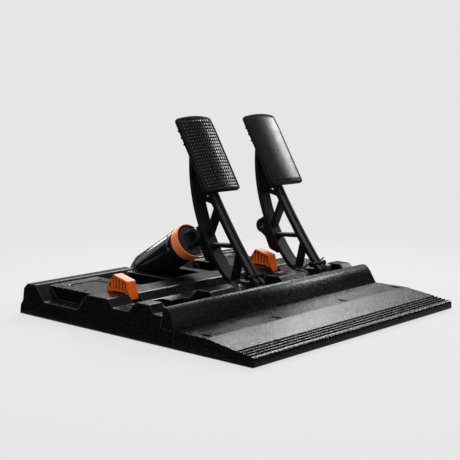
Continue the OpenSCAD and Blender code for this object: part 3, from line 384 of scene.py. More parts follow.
def gloss_black(name, colour, rough):
    """Hard anodised gloss black with a soft haze of handling marks."""
    finish = Finish(name)
    smears = finish.noise(42.0, detail=4.0, rough=0.6)
    dust = finish.noise(700.0, detail=1.0).above(0.66, 0.74)
    base = finish.mix(dust * 0.4, colour, tint(colour, 4.0))
    finish.set(
        Base_Color=base,
        Roughness=rough + 0.14 * smears.above(0.35, 0.75) + 0.1 * dust,
        Normal=finish.bump(smears, 0.02 * MM, strength=0.4),
        Specular_IOR_Level=0.5,
    )
    return finish.material


def plated_metal(name, colour, rough, stretch=(1.0, 1.0, 1.0)):
    """Bare or plated metal with brushing marks and dulled patches."""
    finish = Finish(name)
    brush = finish.noise(900.0, detail=3.0, rough=0.6, place=finish.stretched(*stretch))
    dull = finish.noise(120.0, detail=3.0).above(0.4, 0.7)
    base = finish.mix(dull, tint(colour, 1.05), tint(colour, 0.7))
    finish.set(
        Base_Color=base,
        Metallic=1.0,
        Roughness=rough + 0.15 * brush + 0.12 * dull,
        Normal=finish.bump(brush, 0.02 * MM, strength=0.5),
    )
    return finish.material


def soft_rubber(name, colour, rough=0.78):
    """Matte rubber with a fine bloom."""
    finish = Finish(name)
    bloom = finish.noise(90.0, detail=4.0)
    grain = finish.cells(1100.0)
    base = finish.mix(bloom.above(0.4, 0.75), colour, tint(colour, 2.2))
    finish.set(
        Base_Color=base,
        Roughness=rough + 0.12 * bloom,
        Normal=finish.bump(grain, 0.05 * MM, strength=0.5),
        Specular_IOR_Level=0.12,
    )
    return finish.material


# Shapes


def new_piece(name, points, faces, materials, smooth_angle=35.0):
    mesh = bpy.data.meshes.new(name)
    mesh.from_pydata([tuple(point) for point in points], [], faces)
    mesh.validate()
    mesh.update()
    for material in materials:
        mesh.materials.append(material)
    piece = bpy.data.objects.new(name, mesh)
    bpy.context.scene.collection.objects.link(piece)
    face_outwards(mesh)
    shade(mesh, smooth_angle)
    return piece


def band(start, count):
    """Faces between one ring of points and the next, which follows it in the list."""
    pairs = [(start + i, start + (i + 1) % count) for i in range(count)]
    return [(here, there, there + count, here + count) for here, there in pairs]


def face_outwards(mesh):
    work = bmesh.new()
    work.from_mesh(mesh)
    bmesh.ops.recalc_face_normals(work, faces=work.faces)
    work.to_mesh(mesh)
    work.free()


def shade(mesh, smooth_angle):
    mesh.shade_smooth()
    mesh.set_sharp_from_angle(angle=math.radians(smooth_angle))


def lathe(name, outlines, material, segments, smooth_angle=40.0):
    """Turns closed outlines of (radius, distance from the fork pin) round the damper's axis."""
    side = Vector((1.0, 0.0, 0.0))
    other = DAMPER_AXIS.cross(side).normalized()
    points = []
    faces = []
    for outline in outlines:
        start = len(points)
        count = len(outline)
        for step in range(segments):
            angle = 2 * math.pi * step / segments
            spoke = side * math.cos(angle) + other * math.sin(angle)
            points += [FORK_PIN + spoke * radius + DAMPER_AXIS * along for radius, along in outline]
        for step in range(segments):
            here = start + step * count
            there = start + (step + 1) % segments * count
            for i in range(count):
                j = (i + 1) % count
                faces.append((here + i, here + j, there + j, there + i))
    return new_piece(name, points, faces, [material], smooth_angle)


def tube_along(path, radius, sides):
    """Points and faces of a round wire with closed ends."""
    points = []
    faces = []
    count = len(path)
    normal = None
    for i, point in enumerate(path):
        ahead = (path[min(i + 1, count - 1)] - path[max(i - 1, 0)]).normalized()
        if normal is None:
            normal = ahead.orthogonal().normalized()
        normal = (normal - ahead * normal.dot(ahead)).normalized()
        across = ahead.cross(normal)
        for k in range(sides):
            angle = 2 * math.pi * k / sides
            points.append(point + radius * (normal * math.cos(angle) + across * math.sin(angle)))
    for i in range(count - 1):
        faces += band(i * sides, sides)
    faces.append(tuple(range(sides - 1, -1, -1)))
    faces.append(tuple((count - 1) * sides + k for k in range(sides)))
    return points, faces


# Points of a node that lie closer than this are one
SAME_POINT = 0.002 * MM
# Edges that turn by more degrees than the first are rounded, and faces within the second are level
ROUNDED_FROM = 32.0
LEVEL_WITHIN = 0.5


def rounded_copy(node, name, material, width, body, cutter=None):
    """A piece with a node's shape, less the cutter, whose edges are rounded, in place of the node."""
    work = bmesh.new()
    work.from_mesh(NODES[node].data)
    bmesh.ops.remove_doubles(work, verts=work.verts, dist=SAME_POINT)
    mesh = bpy.data.meshes.new(name)
    work.to_mesh(mesh)
    work.free()
    mesh.materials.clear()
    mesh.materials.append(material)
    piece = bpy.data.objects.new(name, mesh)
    bpy.context.scene.collection.objects.link(piece)
    if cutter is not None:
        cut_away(piece, cutter)
        join_flats(piece.data)
    shade(piece.data, ROUNDED_FROM)
    rounding = piece.modifiers.new("Rounded edges", "BEVEL")
    rounding.width = width
    rounding.segments = 2
    rounding.limit_method = "ANGLE"
    rounding.angle_limit = math.radians(ROUNDED_FROM)
    rounding.use_clamp_overlap = False
    rounding.harden_normals = True
    finish_piece(piece, body, node)


def join_flats(mesh):
    """Joins triangles that lie level, so that shading runs evenly along the chords."""
    work = bmesh.new()
    work.from_mesh(mesh)
    bmesh.ops.join_triangles(
        work,
        faces=work.faces,
        angle_face_threshold=math.radians(LEVEL_WITHIN),
        angle_shape_threshold=math.pi,
    )
    work.to_mesh(mesh)
    work.free()


def cut_away(piece, cutter):
    """Takes the cutter's volume out of a piece and removes the cutter."""
    trim = piece.modifiers.new("Trimmed", "BOOLEAN")
    trim.operation = "DIFFERENCE"
    trim.solver = "EXACT"
    trim.object = cutter
    shown = piece.evaluated_get(bpy.context.evaluated_depsgraph_get())
    trimmed = bpy.data.meshes.new_from_object(shown)
    piece.modifiers.clear()
    piece.data = trimmed
    bpy.data.objects.remove(cutter)


def finish_piece(piece, body, node):
    """Puts a piece under the body that carries it and hides the node that it stands for."""
    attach(piece, body)
    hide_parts(node)


def dress(material, *nodes):
    """Gives CAD nodes that stay a finished material."""
    for node in nodes:
        mesh = NODES[node].data
        mesh.materials.clear()
        mesh.materials.append(material)


# Pads


# Place of a pad's lower edge behind and above the pedal's pivot
PAD_FOOT_Y = 36 * MM
PAD_FOOT_Z = 126 * MM
# The upper end of a pad's face curls back in an arc from this height on
CURL_FROM = 82 * MM
CURL_RADIUS = 260 * MM
# Points in each corner and along each side of a pad's outline
CORNER_STEPS = 8
SIDE_STEPS = (9, 16, 9, 16)
SMALLEST_CORNER = 1.5 * MM
# Each ring of a pad as (distance inside the outline, depth below the face) in mm
RIM_RINGS = ((0.0, 1.6), (0.3, 0.9), (1.0, 0.45), (2.6, 0.3), (3.5, 0.4), (3.8, 0.9))
FACE_INSETS = (8.0, 12.0, 16.0, 20.0, 24.0, 28.0)
SMOOTH_FACE_RINGS = ((4.1, 0.9), (4.5, 0.15), (5.2, 0.0)) + tuple((inset, 0.0) for inset in FACE_INSETS)
STUD_FACE_RINGS = ((4.1, 1.3), (5.0, 1.3)) + tuple((inset, 1.3) for inset in FACE_INSETS)
BACK_CHAMFER = 2.2 * MM
# Places of a pad's two materials
FACE_MATERIAL = 0
RIM_MATERIAL = 1
# Studs stay out of a border round the face and of its rounded corners
STUD_BORDER = 9 * MM
STUD_MARGIN = 6.2 * MM
STUD_CORNER = 4 * MM
STUD_CORNER_REACH = 4.6 * MM
STUD_BLUNTING = 0.3 * MM
# Ribs behind a pad: heights of their middles, inner end and half section as (half width, rise from the back)
RIB_HEIGHTS = (72 * MM, 82 * MM, 92 * MM)
RIB_INNER = 24 * MM
RIB_INSET = 0.8 * MM
RIB_FOOT = (1.6 * MM, 3 * MM)
RIB_CREST = (1.1 * MM, -0.2 * MM)


def pad_outline(sizes, inset):
    """Points round the pad at a distance inside its outline."""
    half = sizes.width / 2 - inset
    low = inset
    high = sizes.height - inset
    radius = max(sizes.corner - inset, SMALLEST_CORNER)
    corners = [
        (-half + radius, low + radius, 180),
        (half - radius, low + radius, 270),
        (half - radius, high - radius, 0),
        (-half + radius, high - radius, 90),
    ]
    ring = []
    for i, (x, y, start) in enumerate(corners):
        for step in range(CORNER_STEPS + 1):
            angle = math.radians(start + 90 * step / CORNER_STEPS)
            ring.append((x + radius * math.cos(angle), y + radius * math.sin(angle)))
        end = ring[-1]
        nx, ny, turn = corners[(i + 1) % 4]
        angle = math.radians(turn)
        target = (nx + radius * math.cos(angle), ny + radius * math.sin(angle))
        for step in range(1, SIDE_STEPS[i]):
            t = step / SIDE_STEPS[i]
            ring.append((end[0] + (target[0] - end[0]) * t, end[1] + (target[1] - end[1]) * t))
    return [(x, y + sizes.arch * (1 - (2 * x / sizes.width) ** 2) * y / sizes.height) for x, y in ring]


def face_height(sizes, x, y):
    """Rise of a pad's crowned face at a point."""
    curl = max(0.0, y - CURL_FROM) ** 2 / (2 * CURL_RADIUS)
    return sizes.crown * (1 - (2 * x / sizes.width) ** 2) - curl


def pad_place(sizes, bay_x):
    foot = Vector((bay_x, PIVOT_Y + PAD_FOOT_Y, PIVOT_Z + PAD_FOOT_Z))
    return Matrix.Translation(foot) @ Matrix.Rotation(math.pi / 2 - sizes.tilt, 4, "X")


def pad_shell(sizes, face_rings):
    """Points, faces and each face's material of a pad without studs."""
    back = -sizes.thickness
    rings = [[(x, y, back) for x, y in pad_outline(sizes, BACK_CHAMFER)]]
    rings.append([(x, y, back + BACK_CHAMFER) for x, y in pad_outline(sizes, 0.0)])
    for inset, depth in RIM_RINGS + face_rings:
        rings.append(
            [(x, y, face_height(sizes, x, y) - depth * MM) for x, y in pad_outline(sizes, inset * MM)]
        )
    points = [point for ring in rings for point in ring]
    count = len(rings[0])
    faces = [tuple(range(count))]
    parts = [RIM_MATERIAL]
    for level in range(len(rings) - 1):
        faces += band(level * count, count)
        parts += [RIM_MATERIAL if level < len(RIM_RINGS) + 1 else FACE_MATERIAL] * count
    last = (len(rings) - 1) * count
    faces.append(tuple(last + i for i in range(count)))
    parts.append(FACE_MATERIAL)
    return points, faces, parts


def add_studs(sizes, points, faces, parts):
    """Rows of blunt pyramids that follow the crown of the face."""
    pitch = sizes.stud_pitch
    columns = int((sizes.width - STUD_BORDER) / pitch)
    rows = int((sizes.height - STUD_BORDER) / pitch)
    foot = sizes.stud_width / 2
    levels = ((foot, sizes.stud_height + STUD_BLUNTING), (foot * 0.8, STUD_BLUNTING), (foot * 0.6, 0.0))
    corners = ((-1, -1), (1, -1), (1, 1), (-1, 1))
    for i in range(columns):
        for j in range(rows):
            x = (i - (columns - 1) / 2) * pitch
            y = sizes.height / 2 + (j - (rows - 1) / 2) * pitch
            past_x = min(0, sizes.width / 2 - STUD_MARGIN - abs(x) - STUD_CORNER)
            past_y = min(0, min(y, sizes.height - y) - STUD_MARGIN - STUD_CORNER)
            if math.hypot(past_x, past_y) > STUD_CORNER_REACH:
                continue
            start = len(points)
            for half, depth in levels:
                for sx, sy in corners:
                    px = x + sx * half
                    py = y + sy * half
                    points.append((px, py, face_height(sizes, px, py) - depth))
            stud = band(start, 4) + band(start + 4, 4)
            stud.append(tuple(start + 8 + k for k in range(4)))
            stud.append(tuple(start + k for k in (3, 2, 1, 0)))
            faces += stud
            parts += [FACE_MATERIAL] * len(stud)


def back_ribs(sizes, points, faces, parts):
    """Short ribs behind the upper part of a pad, which end at its sides."""
    outer = sizes.width / 2 - RIB_INSET
    foot, foot_rise = RIB_FOOT
    crest, crest_rise = RIB_CREST
    section = ((-foot, foot_rise), (-crest, crest_rise), (crest, crest_rise), (foot, foot_rise))
    for side in (-1, 1):
        for height in RIB_HEIGHTS:
            start = len(points)
            for x in (side * outer, side * RIB_INNER):
                points += [(x, height + across, rise - sizes.thickness) for across, rise in section]
            rib = band(start, 4)
            rib += [tuple(start + k for k in range(4)), tuple(start + 4 + k for k in (3, 2, 1, 0))]
            faces += rib
            parts += [RIM_MATERIAL] * len(rib)


def make_pad(name, node, bay_x, body, face_rings, studs, materials):
    sizes = settings("pedal_pad")
    points, faces, parts = pad_shell(sizes, face_rings)
    if studs:
        add_studs(sizes, points, faces, parts)
    back_ribs(sizes, points, faces, parts)
    place = pad_place(sizes, bay_x)
    placed = [place @ Vector(point) for point in points]
    piece = new_piece(name, placed, faces, materials, smooth_angle=38.0)
    for face, part in zip(piece.data.polygons, parts):
        face.material_index = part
    finish_piece(piece, body, node)


# Operators


class PEDALS_OT_mouldings(bpy.types.Operator):
    """Finish the tray, heel plate and heel bar"""

    bl_idname = "pedals.mouldings"
    bl_label = "Base mouldings"

    def execute(self, context):
        colours = settings("pedal_colours")
        edges = settings("pedal_edges")
        black = grained_plastic(
            "grained_black", colours.moulding, grain=560.0, depth=0.26 * MM, rough=0.17, specular=0.08,
            edge=edges.tray,
        )
        heel = grained_plastic(
            "heel_black", colours.moulding, grain=480.0, depth=0.7 * MM, rough=0.12, specular=0.085
        )
        bar = grained_plastic(
            "bar_black", colours.moulding, grain=480.0, depth=0.5 * MM, rough=0.24, specular=0.11
        )
        dress(black, "base_tray")
        dress(heel, "heel_plate")
        self.heel_bar(bar)
        return {"FINISHED"}

    def heel_bar(self, material):
        """The bar with a front that curves over into its top, tapered at both ends like the tray."""
        profile = self.bar_profile()
        # The ends are rounded by rings drawn in towards a point inside the bar
        middle = Vector((-69.0 * MM, 33.0 * MM))
        rounding = 0.9 * MM
        insets = (rounding, 0.25 * MM, 0.0)
        rings = [(-1, inset) for inset in insets] + [(1, inset) for inset in reversed(insets)]
        points = []
        for side, inset in rings:
            for y, z in profile:
                away = Vector((y, z)) - middle
                spot = middle + away * (1 - inset / away.length)
                end = BASE_HALF - spot.y * math.tan(SIDE_DRAFT) - (rounding - inset)
                points.append((side * end, spot.x, spot.y))
        count = len(profile)
        last = (len(rings) - 1) * count
        faces = [tuple(range(count)), tuple(range(last, last + count))]
        for level in range(len(rings) - 1):
            faces += band(level * count, count)
        bar = new_piece("heel_bar_curved", points, faces, [material], smooth_angle=50.0)
        finish_piece(bar, "base", "heel_bar")

    def bar_profile(self):
        """Side view of the bar as (y, z), a curve from the front foot to the top and a rounded rear."""
        foot, lean, reach, top = ((118.6, 21.8), (125.4, 33.8), (128.4, 45.6), (137.6, 45.6))
        rear = [(139.3, 45.45), (140.2, 44.9), (140.7, 44.0), (140.8, 42.8), (140.8, 21.8)]
        steps = 16
        points = []
        for i in range(steps + 1):
            t = i / steps
            shares = ((1 - t) ** 3, 3 * t * (1 - t) ** 2, 3 * t * t * (1 - t), t ** 3)
            spot = [sum(share * p[k] for share, p in zip(shares, (foot, lean, reach, top))) for k in (0, 1)]
            points.append(spot)
        return [(y * MM - BASE_HALF, z * MM) for y, z in points + rear]


class PEDALS_OT_arms(bpy.types.Operator):
    """Round the edges of the two pedal arms and clear the openings beside the damper lug"""

    bl_idname = "pedals.arms"
    bl_label = "Pedal arms"

    def execute(self, context):
        colours = settings("pedal_colours")
        edges = settings("pedal_edges")
        satin = satin_plastic("satin_black", colours.arm, rough=0.46, specular=0.065, edge=edges.arm)
        for side, bay_x in (("brake", BRAKE_X), ("throttle", THROTTLE_X)):
            rounded_copy(
                f"{side}_arm", f"{side}_arm_rounded", satin, edges.arm, f"{side}_pedal",
                cutter=self.truss_cutter(bay_x),
            )
        return {"FINISHED"}

    def truss_cutter(self, bay_x):
        """Blocks that fill the openings between the struts beside the damper lug."""
        half = 5.4 * MM
        points = []
        faces = []
        for outline in self.opening_corners():
            start = len(points)
            count = len(outline)
            for x in (bay_x - half, bay_x + half):
                points += [(x, PIVOT_Y + y * MM, PIVOT_Z + z * MM) for y, z in outline]
            faces += band(start, count)
            faces += [tuple(start + i for i in range(count)), tuple(start + count + i for i in range(count))]
        return new_piece("truss_cutter", points, faces, [])

    def opening_corners(self):
        """Corners of the three spaces beside the lug as (y, z) in mm from the pivot."""
        upper = [(62.9, 67.8), (54.5, 88.4), (54.5, 89.0)] + self.chord_face(89.0, 67.8)
        middle = [(55.4, 54.9), (50.0, 55.3), (50.0, 85.2)] + self.chord_face(62.4, 54.9)
        lower = [(49.0, 43.9), (49.0, 49.9)] + self.chord_face(49.6, 43.9)
        return upper, middle, lower

    def chord_face(self, start, end):
        """Points down the front face of the rear chord, an arc, between two heights."""
        centre_y = -114.0
        centre_z = 158.1
        radius = 199.0
        gap = 0.05
        steps = 6
        heights = [start + (end - start) * i / steps for i in range(steps + 1)]
        return [(centre_y + math.sqrt(radius ** 2 - (z - centre_z) ** 2) - gap, z) for z in heights]


class PEDALS_OT_pads(bpy.types.Operator):
    """Build the studded brake pad and the smooth throttle pad"""

    bl_idname = "pedals.pads"
    bl_label = "Pads"

    def execute(self, context):
        colours = settings("pedal_colours")
        studded = grained_plastic(
            "studded_black", colours.pad, grain=1100.0, depth=0.04 * MM, rough=0.24, specular=0.3
        )
        smooth = grained_plastic(
            "pad_grain_black", colours.pad, grain=800.0, depth=0.09 * MM, rough=0.27, specular=0.22
        )
        rim = soft_rubber("pad_rim_black", colours.rubber, rough=0.62)
        make_pad(
            "brake_pad_studded", "brake_pad", BRAKE_X, "brake_pedal", STUD_FACE_RINGS,
            studs=True, materials=[studded, rim],
        )
        make_pad(
            "throttle_pad_smooth", "throttle_pad", THROTTLE_X, "throttle_pedal", SMOOTH_FACE_RINGS,
            studs=False, materials=[smooth, rim],
        )
        return {"FINISHED"}


class PEDALS_OT_damper(bpy.types.Operator):
    """Turn the damper's tube and preload ring and finish its caps"""

    bl_idname = "pedals.damper"
    bl_label = "Brake damper"

    def execute(self, context):
        colours = settings("pedal_colours")
        edges = settings("pedal_edges")
        tube = gloss_black("gloss_tube", colours.tube, rough=0.10)
        cap = satin_plastic("cap_black", colours.cap, rough=0.42, specular=0.2, edge=edges.arm)
        anodised = turned_metal("orange_anodised", colours.ring, rough=0.30, lines=2600.0, metallic=0.1)
        body = lathe("damper_tube", [self.tube_outline()], tube, segments=128)
        finish_piece(body, "damper", "damper_body")
        ring = lathe("preload_ring_turned", [self.ring_outline()], anodised, segments=128, smooth_angle=30.0)
        finish_piece(ring, "ring", "preload_ring")
        rounded_copy("damper_rear_cap", "rear_cap_rounded", cap, edges.arm, "damper")
        rounded_copy("brake_piston", "piston_rounded", cap, edges.arm, "piston")
        return {"FINISHED"}

    def tube_outline(self):
        """Half section of the tube: the seat of the ring, the collar behind it and the barrel."""
        bore = 20.6
        seat = 22.45
        collar = 24.6
        barrel = 23.5
        outline = [(bore, 18.3), (20.9, 18.0), (22.0, 18.0), (22.3, 18.15), (seat, 18.5), (seat, 31.8)]
        outline += [(23.6, 31.8), (24.2, 32.0), (24.5, 32.4), (collar, 32.9)]
        outline += [(collar, 41.4), (24.45, 41.8), (24.1, 42.0), (23.75, 42.05)]
        outline += [(barrel, 42.3), (barrel, 113.9), (23.4, 114.5), (23.1, 114.85), (22.6, 115.0)]
        outline.append((bore, 115.0))
        return [(radius * MM, along * MM) for radius, along in outline]

    def ring_outline(self):
        """Half section of the preload ring, with turned lines in its outer face."""
        sizes = settings("pedal_ring")
        inner = 22.5
        outer = 24.2
        groove_r = outer - sizes.groove_depth / MM
        grooved_from = 19.3
        grooved_length = 11.0
        pitch = grooved_length / max(sizes.grooves, 1)
        outline = [(inner, 17.8), (22.8, 17.5), (23.3, 17.5), (23.8, 17.7), (24.1, 18.1), (outer, 18.6)]
        for i in range(sizes.grooves):
            middle = grooved_from + pitch * (i + 0.5)
            outline += [(outer, middle - 0.24 * pitch), (groove_r, middle - 0.1 * pitch)]
            outline += [(groove_r, middle + 0.1 * pitch), (outer, middle + 0.24 * pitch)]
        outline += [(outer, 30.7), (24.0, 31.1), (23.5, 31.3), (inner, 31.3)]
        return [(radius * MM, along * MM) for radius, along in outline]


class PEDALS_OT_latches(bpy.types.Operator):
    """Round and colour the two latches"""

    bl_idname = "pedals.latches"
    bl_label = "Latches"

    def execute(self, context):
        width = settings("pedal_edges").latch
        orange = orange_plastic("latch_orange", settings("pedal_colours").latch, rough=0.38, edge=width)
        rounded_copy("spare_bay_latch", "spare_latch_rounded", orange, width, "spare_latch")
        rounded_copy(
            "throttle_latch", "throttle_latch_rounded", orange, width, "throttle_side_latch"
        )
        return {"FINISHED"}


class PEDALS_OT_springs(bpy.types.Operator):
    """Wind the throttle's two return springs"""

    bl_idname = "pedals.springs"
    bl_label = "Return springs"

    def execute(self, context):
        dark = plated_metal("spring_wire", tint(settings("pedal_colours").steel, 0.1), rough=0.3)
        points = []
        faces = []
        for side in (1, -1):
            wire, skin = tube_along(self.wire_path(side), radius=1.1 * MM, sides=12)
            start = len(points)
            points += wire
            faces += [tuple(start + i for i in face) for face in skin]
        springs = new_piece("throttle_return_springs", points, faces, [dark], smooth_angle=50.0)
        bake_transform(springs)
        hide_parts("throttle_springs")
        return {"FINISHED"}

    def wire_path(self, side):
        """Post leg, three coils and the leg over the cross pin."""
        coil_r = 10 * MM
        pitch = 2.75 * MM
        inner_end = 9.5 * MM
        post_leg = 19 * MM
        pin_leg = 30 * MM
        pin = (-16 * MM, 18 * MM)
        pin_and_wire = 4.5 * MM
        over_pin = math.atan2(pin[1], pin[0]) - math.acos((coil_r - pin_and_wire) / math.hypot(*pin))
        turns = 3 + over_pin / (2 * math.pi)
        outer_end = inner_end + pitch * turns
        steps = int(40 * turns)

        def coil(turn):
            angle = 2 * math.pi * turn
            x = side * (outer_end - pitch * turn)
            return Vector((x, coil_r * math.cos(angle), coil_r * math.sin(angle)))

        def heading(turn):
            angle = 2 * math.pi * turn
            return Vector((0.0, -math.sin(angle), math.cos(angle)))

        path = [coil(0) - heading(0) * (post_leg * (1 - i / 6)) for i in range(6)]
        path += [coil(turns * i / steps) for i in range(steps + 1)]
        path += [coil(turns) + heading(turns) * (pin_leg * (i + 1) / 8) for i in range(8)]
        return [THROTTLE_PIVOT + point for point in path]


class PEDALS_OT_rubber(bpy.types.Operator):
    """Finish feet, bumpers and seal and mould the elastomers"""

    bl_idname = "pedals.rubber"
    bl_label = "Rubber and elastomers"

    def execute(self, context):
        colours = settings("pedal_colours")
        width = settings("pedal_edges").rubber
        black = soft_rubber("black_rubber", colours.rubber)
        rounded_copy("rubber_feet", "feet_rounded", black, width, "base")
        for side in ("brake", "throttle"):
            rounded_copy(f"{side}_bumper", f"{side}_bumper_rounded", black, width, "base")
        dress(black, "piston_seal")
        soft = soft_rubber("polyurethane", colours.elastomer, rough=0.45)
        outlines = [self.block_outline(i) for i in range(3)]
        blocks = lathe("elastomer_blocks", outlines, soft, segments=64, smooth_angle=50.0)
        finish_piece(blocks, "damper", "elastomers")
        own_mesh(blocks)
        return {"FINISHED"}

    def block_outline(self, index):
        """Half section of one block, drawn in at its ends and lightly waved between them."""
        bore = 6.5
        outer = 17.5
        length = 21.7
        spacing = 22.0
        low = 30.3 + spacing * index
        steps = 8
        outline = [(bore, low + length), (bore, low)]
        for i in range(steps + 1):
            t = i / steps
            drawn_in = 1.6 * (2 * t - 1) ** 4
            wave = 0.5 * math.cos(6 * math.pi * t) ** 2
            outline.append((outer - drawn_in - wave, low + length * t))
        return [(radius * MM, along * MM) for radius, along in outline]


class PEDALS_OT_metalwork(bpy.types.Operator):
    """Finish brackets, screws, pins, axles and bushes"""

    bl_idname = "pedals.metalwork"
    bl_label = "Brackets and fasteners"

    def execute(self, context):
        colours = settings("pedal_colours")
        edges = settings("pedal_edges")
        coat = grained_plastic(
            "powder_coat", colours.coat, grain=1400.0, depth=0.10 * MM, rough=0.50, specular=0.12,
            edge=edges.arm,
        )
        steel = plated_metal("plated_steel", colours.steel, rough=0.24)
        drawn = plated_metal("drawn_steel", colours.steel, rough=0.18, stretch=(0.05, 1.0, 1.0))
        bronze = plated_metal("bearing_bronze", colours.bronze, rough=0.26)
        blacked = plated_metal("blacked_steel", tint(colours.steel, 0.08), rough=0.34)
        dull = satin_plastic("dull_black", tint(colours.coat, 0.5), rough=0.6, specular=0.05, edge=edges.arm)
        dress(coat, "brake_bracket", "throttle_bracket")
        dress(dull, "brake_cross_pin", "throttle_cross_pin")
        dress(
            blacked, "heel_plate_screws", "heel_bar_screws", "bracket_screws", "brake_pad_screws",
            "throttle_pad_screws", "fork_pin",
        )
        dress(drawn, "brake_axle", "throttle_axle", "damper_pivot_pin", "latch_pins")
        dress(steel, "brake_axle_clip", "brake_spacers", "sensor_magnet", "load_cell")
        dress(bronze, "brake_bushes", "throttle_bushes")
        return {"FINISHED"}


class PEDALS_OT_electronics(bpy.types.Operator):
    """Finish the control box, its socket and the throttle's sensor"""

    bl_idname = "pedals.electronics"
    bl_label = "Electronics"

    def execute(self, context):
        colours = settings("pedal_colours")
        edge = settings("pedal_edges").arm
        housing = grained_plastic(
            "housing_black", colours.cap, grain=900.0, depth=0.10 * MM, rough=0.45, specular=0.35, edge=edge
        )
        shell = plated_metal("socket_shell", colours.steel, rough=0.22, stretch=(1.0, 0.1, 1.0))
        dress(housing, "control_box", "throttle_sensor")
        dress(shell, "usb_socket")
        return {"FINISHED"}


# Place, lens in mm, and dip and turn in degrees of the photo's camera
CAMERA_PLACE = (-1.0032, -0.8948, 0.2952)
CAMERA_LENS = 82.04
CAMERA_DIP = 7.93
CAMERA_TURN = -47.82
# Each lamp as (name, place, width and height, setting of its power)
SOFT_BOXES = (
    ("key_box", (1.80, -0.18, 1.00), (0.60, 0.34), "key_power"),
    ("glare_box", (1.36, 1.19, 1.26), (1.25, 1.0), "glare_power"),
    ("edge_box", (1.44, 0.77, 1.32), (0.50, 0.35), "edge_power"),
    ("strip_box", (0.62, 1.95, 0.72), (0.34, 0.60), "strip_power"),
    ("top_box", (0.10, 0.45, 1.70), (0.9, 0.6), "top_power"),
    ("fill_box", (-1.1, -1.5, 1.7), (1.2, 1.2), "fill_power"),
)
LAMP_TARGET = Vector((0.0, 0.0, 0.08))
# Each black card as (name, middle of its lower edge, turn in degrees, width, height, lean in degrees)
CARDS = (
    ("left_card", (-0.222, 0.25, 0.0), 90.0, 1.1, 0.4, 0.0),
    ("right_card", (2.08, -1.40, 0.0), 56.0, 3.8, 3.4, 0.0),
    ("back_card", (0.75, 0.95, 0.0), -38.0, 1.7, 0.29, 0.0),
    # The front card lies flat on the floor before the part, so faces that mirror the floor there show it
    # dark, as a painted shadow in their reflections.
    ("front_card", (0.35, -0.212, 0.0015), 0.0, 1.6, 0.7, 90.0),
)
CARD_BLACK = (0.002, 0.002, 0.002)
FLOOR_HALF = 5.0
# Strength of the backdrop as a lamp
ROOM_LIGHT = 0.22


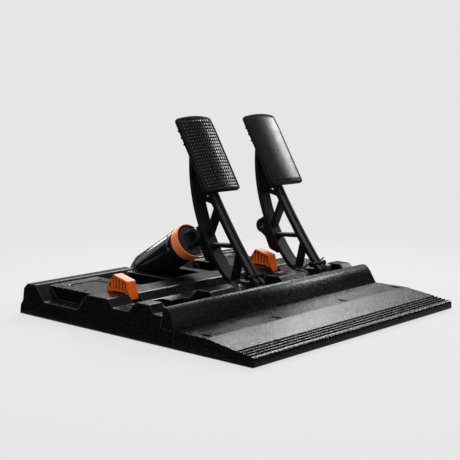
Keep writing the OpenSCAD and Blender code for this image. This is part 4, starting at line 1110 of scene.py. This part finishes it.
class PEDALS_OT_stage(bpy.types.Operator):
    """Set the floor, backdrop, lights and camera"""

    bl_idname = "pedals.stage"
    bl_label = "Stage"

    def execute(self, context):
        scene = context.scene
        stage = settings("pedal_stage")
        scene.view_settings.view_transform = "Standard"
        self.camera(scene)
        self.backdrop(scene, stage.backdrop)
        self.floor(scene, stage.backdrop)
        for name, place, size, power in SOFT_BOXES:
            self.soft_box(scene, name, place, size, getattr(stage, power))
        for card in CARDS:
            self.card(scene, *card)
        return {"FINISHED"}

    def camera(self, scene):
        lens = bpy.data.cameras.new("photo_camera")
        lens.sensor_width = 36.0
        lens.lens = CAMERA_LENS
        camera = bpy.data.objects.new("photo_camera", lens)
        camera.location = CAMERA_PLACE
        camera.rotation_euler = (math.radians(90 - CAMERA_DIP), 0.0, math.radians(CAMERA_TURN))
        scene.collection.objects.link(camera)
        scene.camera = camera

    def backdrop(self, scene, colour):
        """A world that is pale where it is seen and dimmer where it lights the part."""
        world = bpy.data.worlds.new("pale_backdrop")
        world.use_nodes = True
        nodes = Nodes(world.node_tree)
        background = nodes.tree.nodes["Background"]
        nodes.feed(background.inputs["Color"], colour)
        pale = Value(nodes, background.outputs[0])
        dim = nodes.node("ShaderNodeBackground", None, {"Color": colour, "Strength": ROOM_LIGHT})
        choice = nodes.node("ShaderNodeMixShader", None, {"Fac": self.shown_rays(nodes), 1: dim, 2: pale})
        nodes.feed(nodes.tree.nodes["World Output"].inputs["Surface"], choice)
        scene.world = world

    def shown_rays(self, nodes):
        """1 for rays that look at the stage straight, in a mirror or through glass."""
        shown = nodes.node("ShaderNodeLightPath", output="Is Camera Ray")
        for name in ("Is Glossy Ray", "Is Transmission Ray"):
            shown = shown.maths("MAXIMUM", shown, nodes.node("ShaderNodeLightPath", output=name))
        return shown

    def floor(self, scene, colour):
        """A floor that glows like the backdrop and takes a soft shadow near the part."""
        finish = Finish("pale_floor")
        finish.set(Base_Color=colour, Roughness=0.9, Specular_IOR_Level=0.0)
        far = finish.node("ShaderNodeVectorMath", {"operation": "LENGTH"}, {0: finish.place}, output="Value")
        even = 0.86 + 0.14 * far.above(0.3, 0.8)
        glow = finish.node("ShaderNodeEmission", None, {"Color": colour, "Strength": 1.0})
        lit = Value(finish, finish.shader.outputs[0])
        share = even * self.shown_rays(finish)
        mixed = finish.node("ShaderNodeMixShader", None, {"Fac": share, 1: lit, 2: glow})
        finish.feed(finish.tree.nodes["Material Output"].inputs["Surface"], mixed)
        half = FLOOR_HALF
        corners = [(-half, -half, 0), (half, -half, 0), (half, half, 0), (-half, half, 0)]
        self.panel(scene, "floor", corners, finish.material)

    def panel(self, scene, name, corners, material):
        """A flat piece of the stage with four corners."""
        mesh = bpy.data.meshes.new(name)
        mesh.from_pydata(corners, [], [(0, 1, 2, 3)])
        mesh.materials.append(material)
        panel = bpy.data.objects.new(name, mesh)
        scene.collection.objects.link(panel)
        return panel

    def soft_box(self, scene, name, place, size, power):
        lamp = bpy.data.lights.new(name, "AREA")
        lamp.shape = "RECTANGLE"
        lamp.size, lamp.size_y = size
        lamp.energy = power
        box = bpy.data.objects.new(name, lamp)
        box.location = place
        aim = LAMP_TARGET - box.location
        box.rotation_euler = aim.to_track_quat("-Z", "Y").to_euler()
        scene.collection.objects.link(box)

    def card(self, scene, name, place, turn, width, height, lean):
        """A black card that is seen only in reflections, standing unless it leans to the front."""
        finish = Finish(name)
        finish.set(Base_Color=CARD_BLACK, Roughness=1.0, Specular_IOR_Level=0.0)
        half = width / 2
        corners = [(-half, 0, 0), (half, 0, 0), (half, 0, height), (-half, 0, height)]
        card = self.panel(scene, name, corners, finish.material)
        card.location = place
        card.rotation_euler = (math.radians(lean), 0.0, math.radians(turn))
        card.visible_camera = False
        card.visible_diffuse = False
        card.visible_shadow = False


# Panel and registering


GROUPS = {
    "pedal_colours": PedalColours,
    "pedal_pad": PadSizes,
    "pedal_edges": EdgeSizes,
    "pedal_ring": RingSizes,
    "pedal_stage": StageSettings,
}

OPERATORS = (
    PEDALS_OT_mouldings,
    PEDALS_OT_arms,
    PEDALS_OT_pads,
    PEDALS_OT_damper,
    PEDALS_OT_latches,
    PEDALS_OT_springs,
    PEDALS_OT_rubber,
    PEDALS_OT_metalwork,
    PEDALS_OT_electronics,
    PEDALS_OT_stage,
)


class PEDALS_PT_looks(bpy.types.Panel):
    bl_label = "Pedal set"
    bl_space_type = "VIEW_3D"
    bl_region_type = "UI"
    bl_category = "Pedals"

    def draw(self, context):
        for group in GROUPS:
            box = self.layout.box()
            values = getattr(context.scene, group)
            for setting in values.__annotations__:
                box.prop(values, setting)
        for operator in OPERATORS:
            self.layout.operator(operator.bl_idname)


def register():
    for name, group in GROUPS.items():
        bpy.utils.register_class(group)
        setattr(bpy.types.Scene, name, PointerProperty(type=group))
    for operator in OPERATORS:
        bpy.utils.register_class(operator)
    bpy.utils.register_class(PEDALS_PT_looks)


def unregister():
    bpy.utils.unregister_class(PEDALS_PT_looks)
    for operator in reversed(OPERATORS):
        bpy.utils.unregister_class(operator)
    for name, group in GROUPS.items():
        delattr(bpy.types.Scene, name)
        bpy.utils.unregister_class(group)


def main():
    register()
    bpy.ops.pedals.stage()
    bpy.ops.pedals.mouldings()
    bpy.ops.pedals.arms()
    bpy.ops.pedals.pads()
    bpy.ops.pedals.damper()
    bpy.ops.pedals.latches()
    bpy.ops.pedals.springs()
    bpy.ops.pedals.rubber()
    bpy.ops.pedals.metalwork()
    bpy.ops.pedals.electronics()


if __name__ == "__main__":
    main()
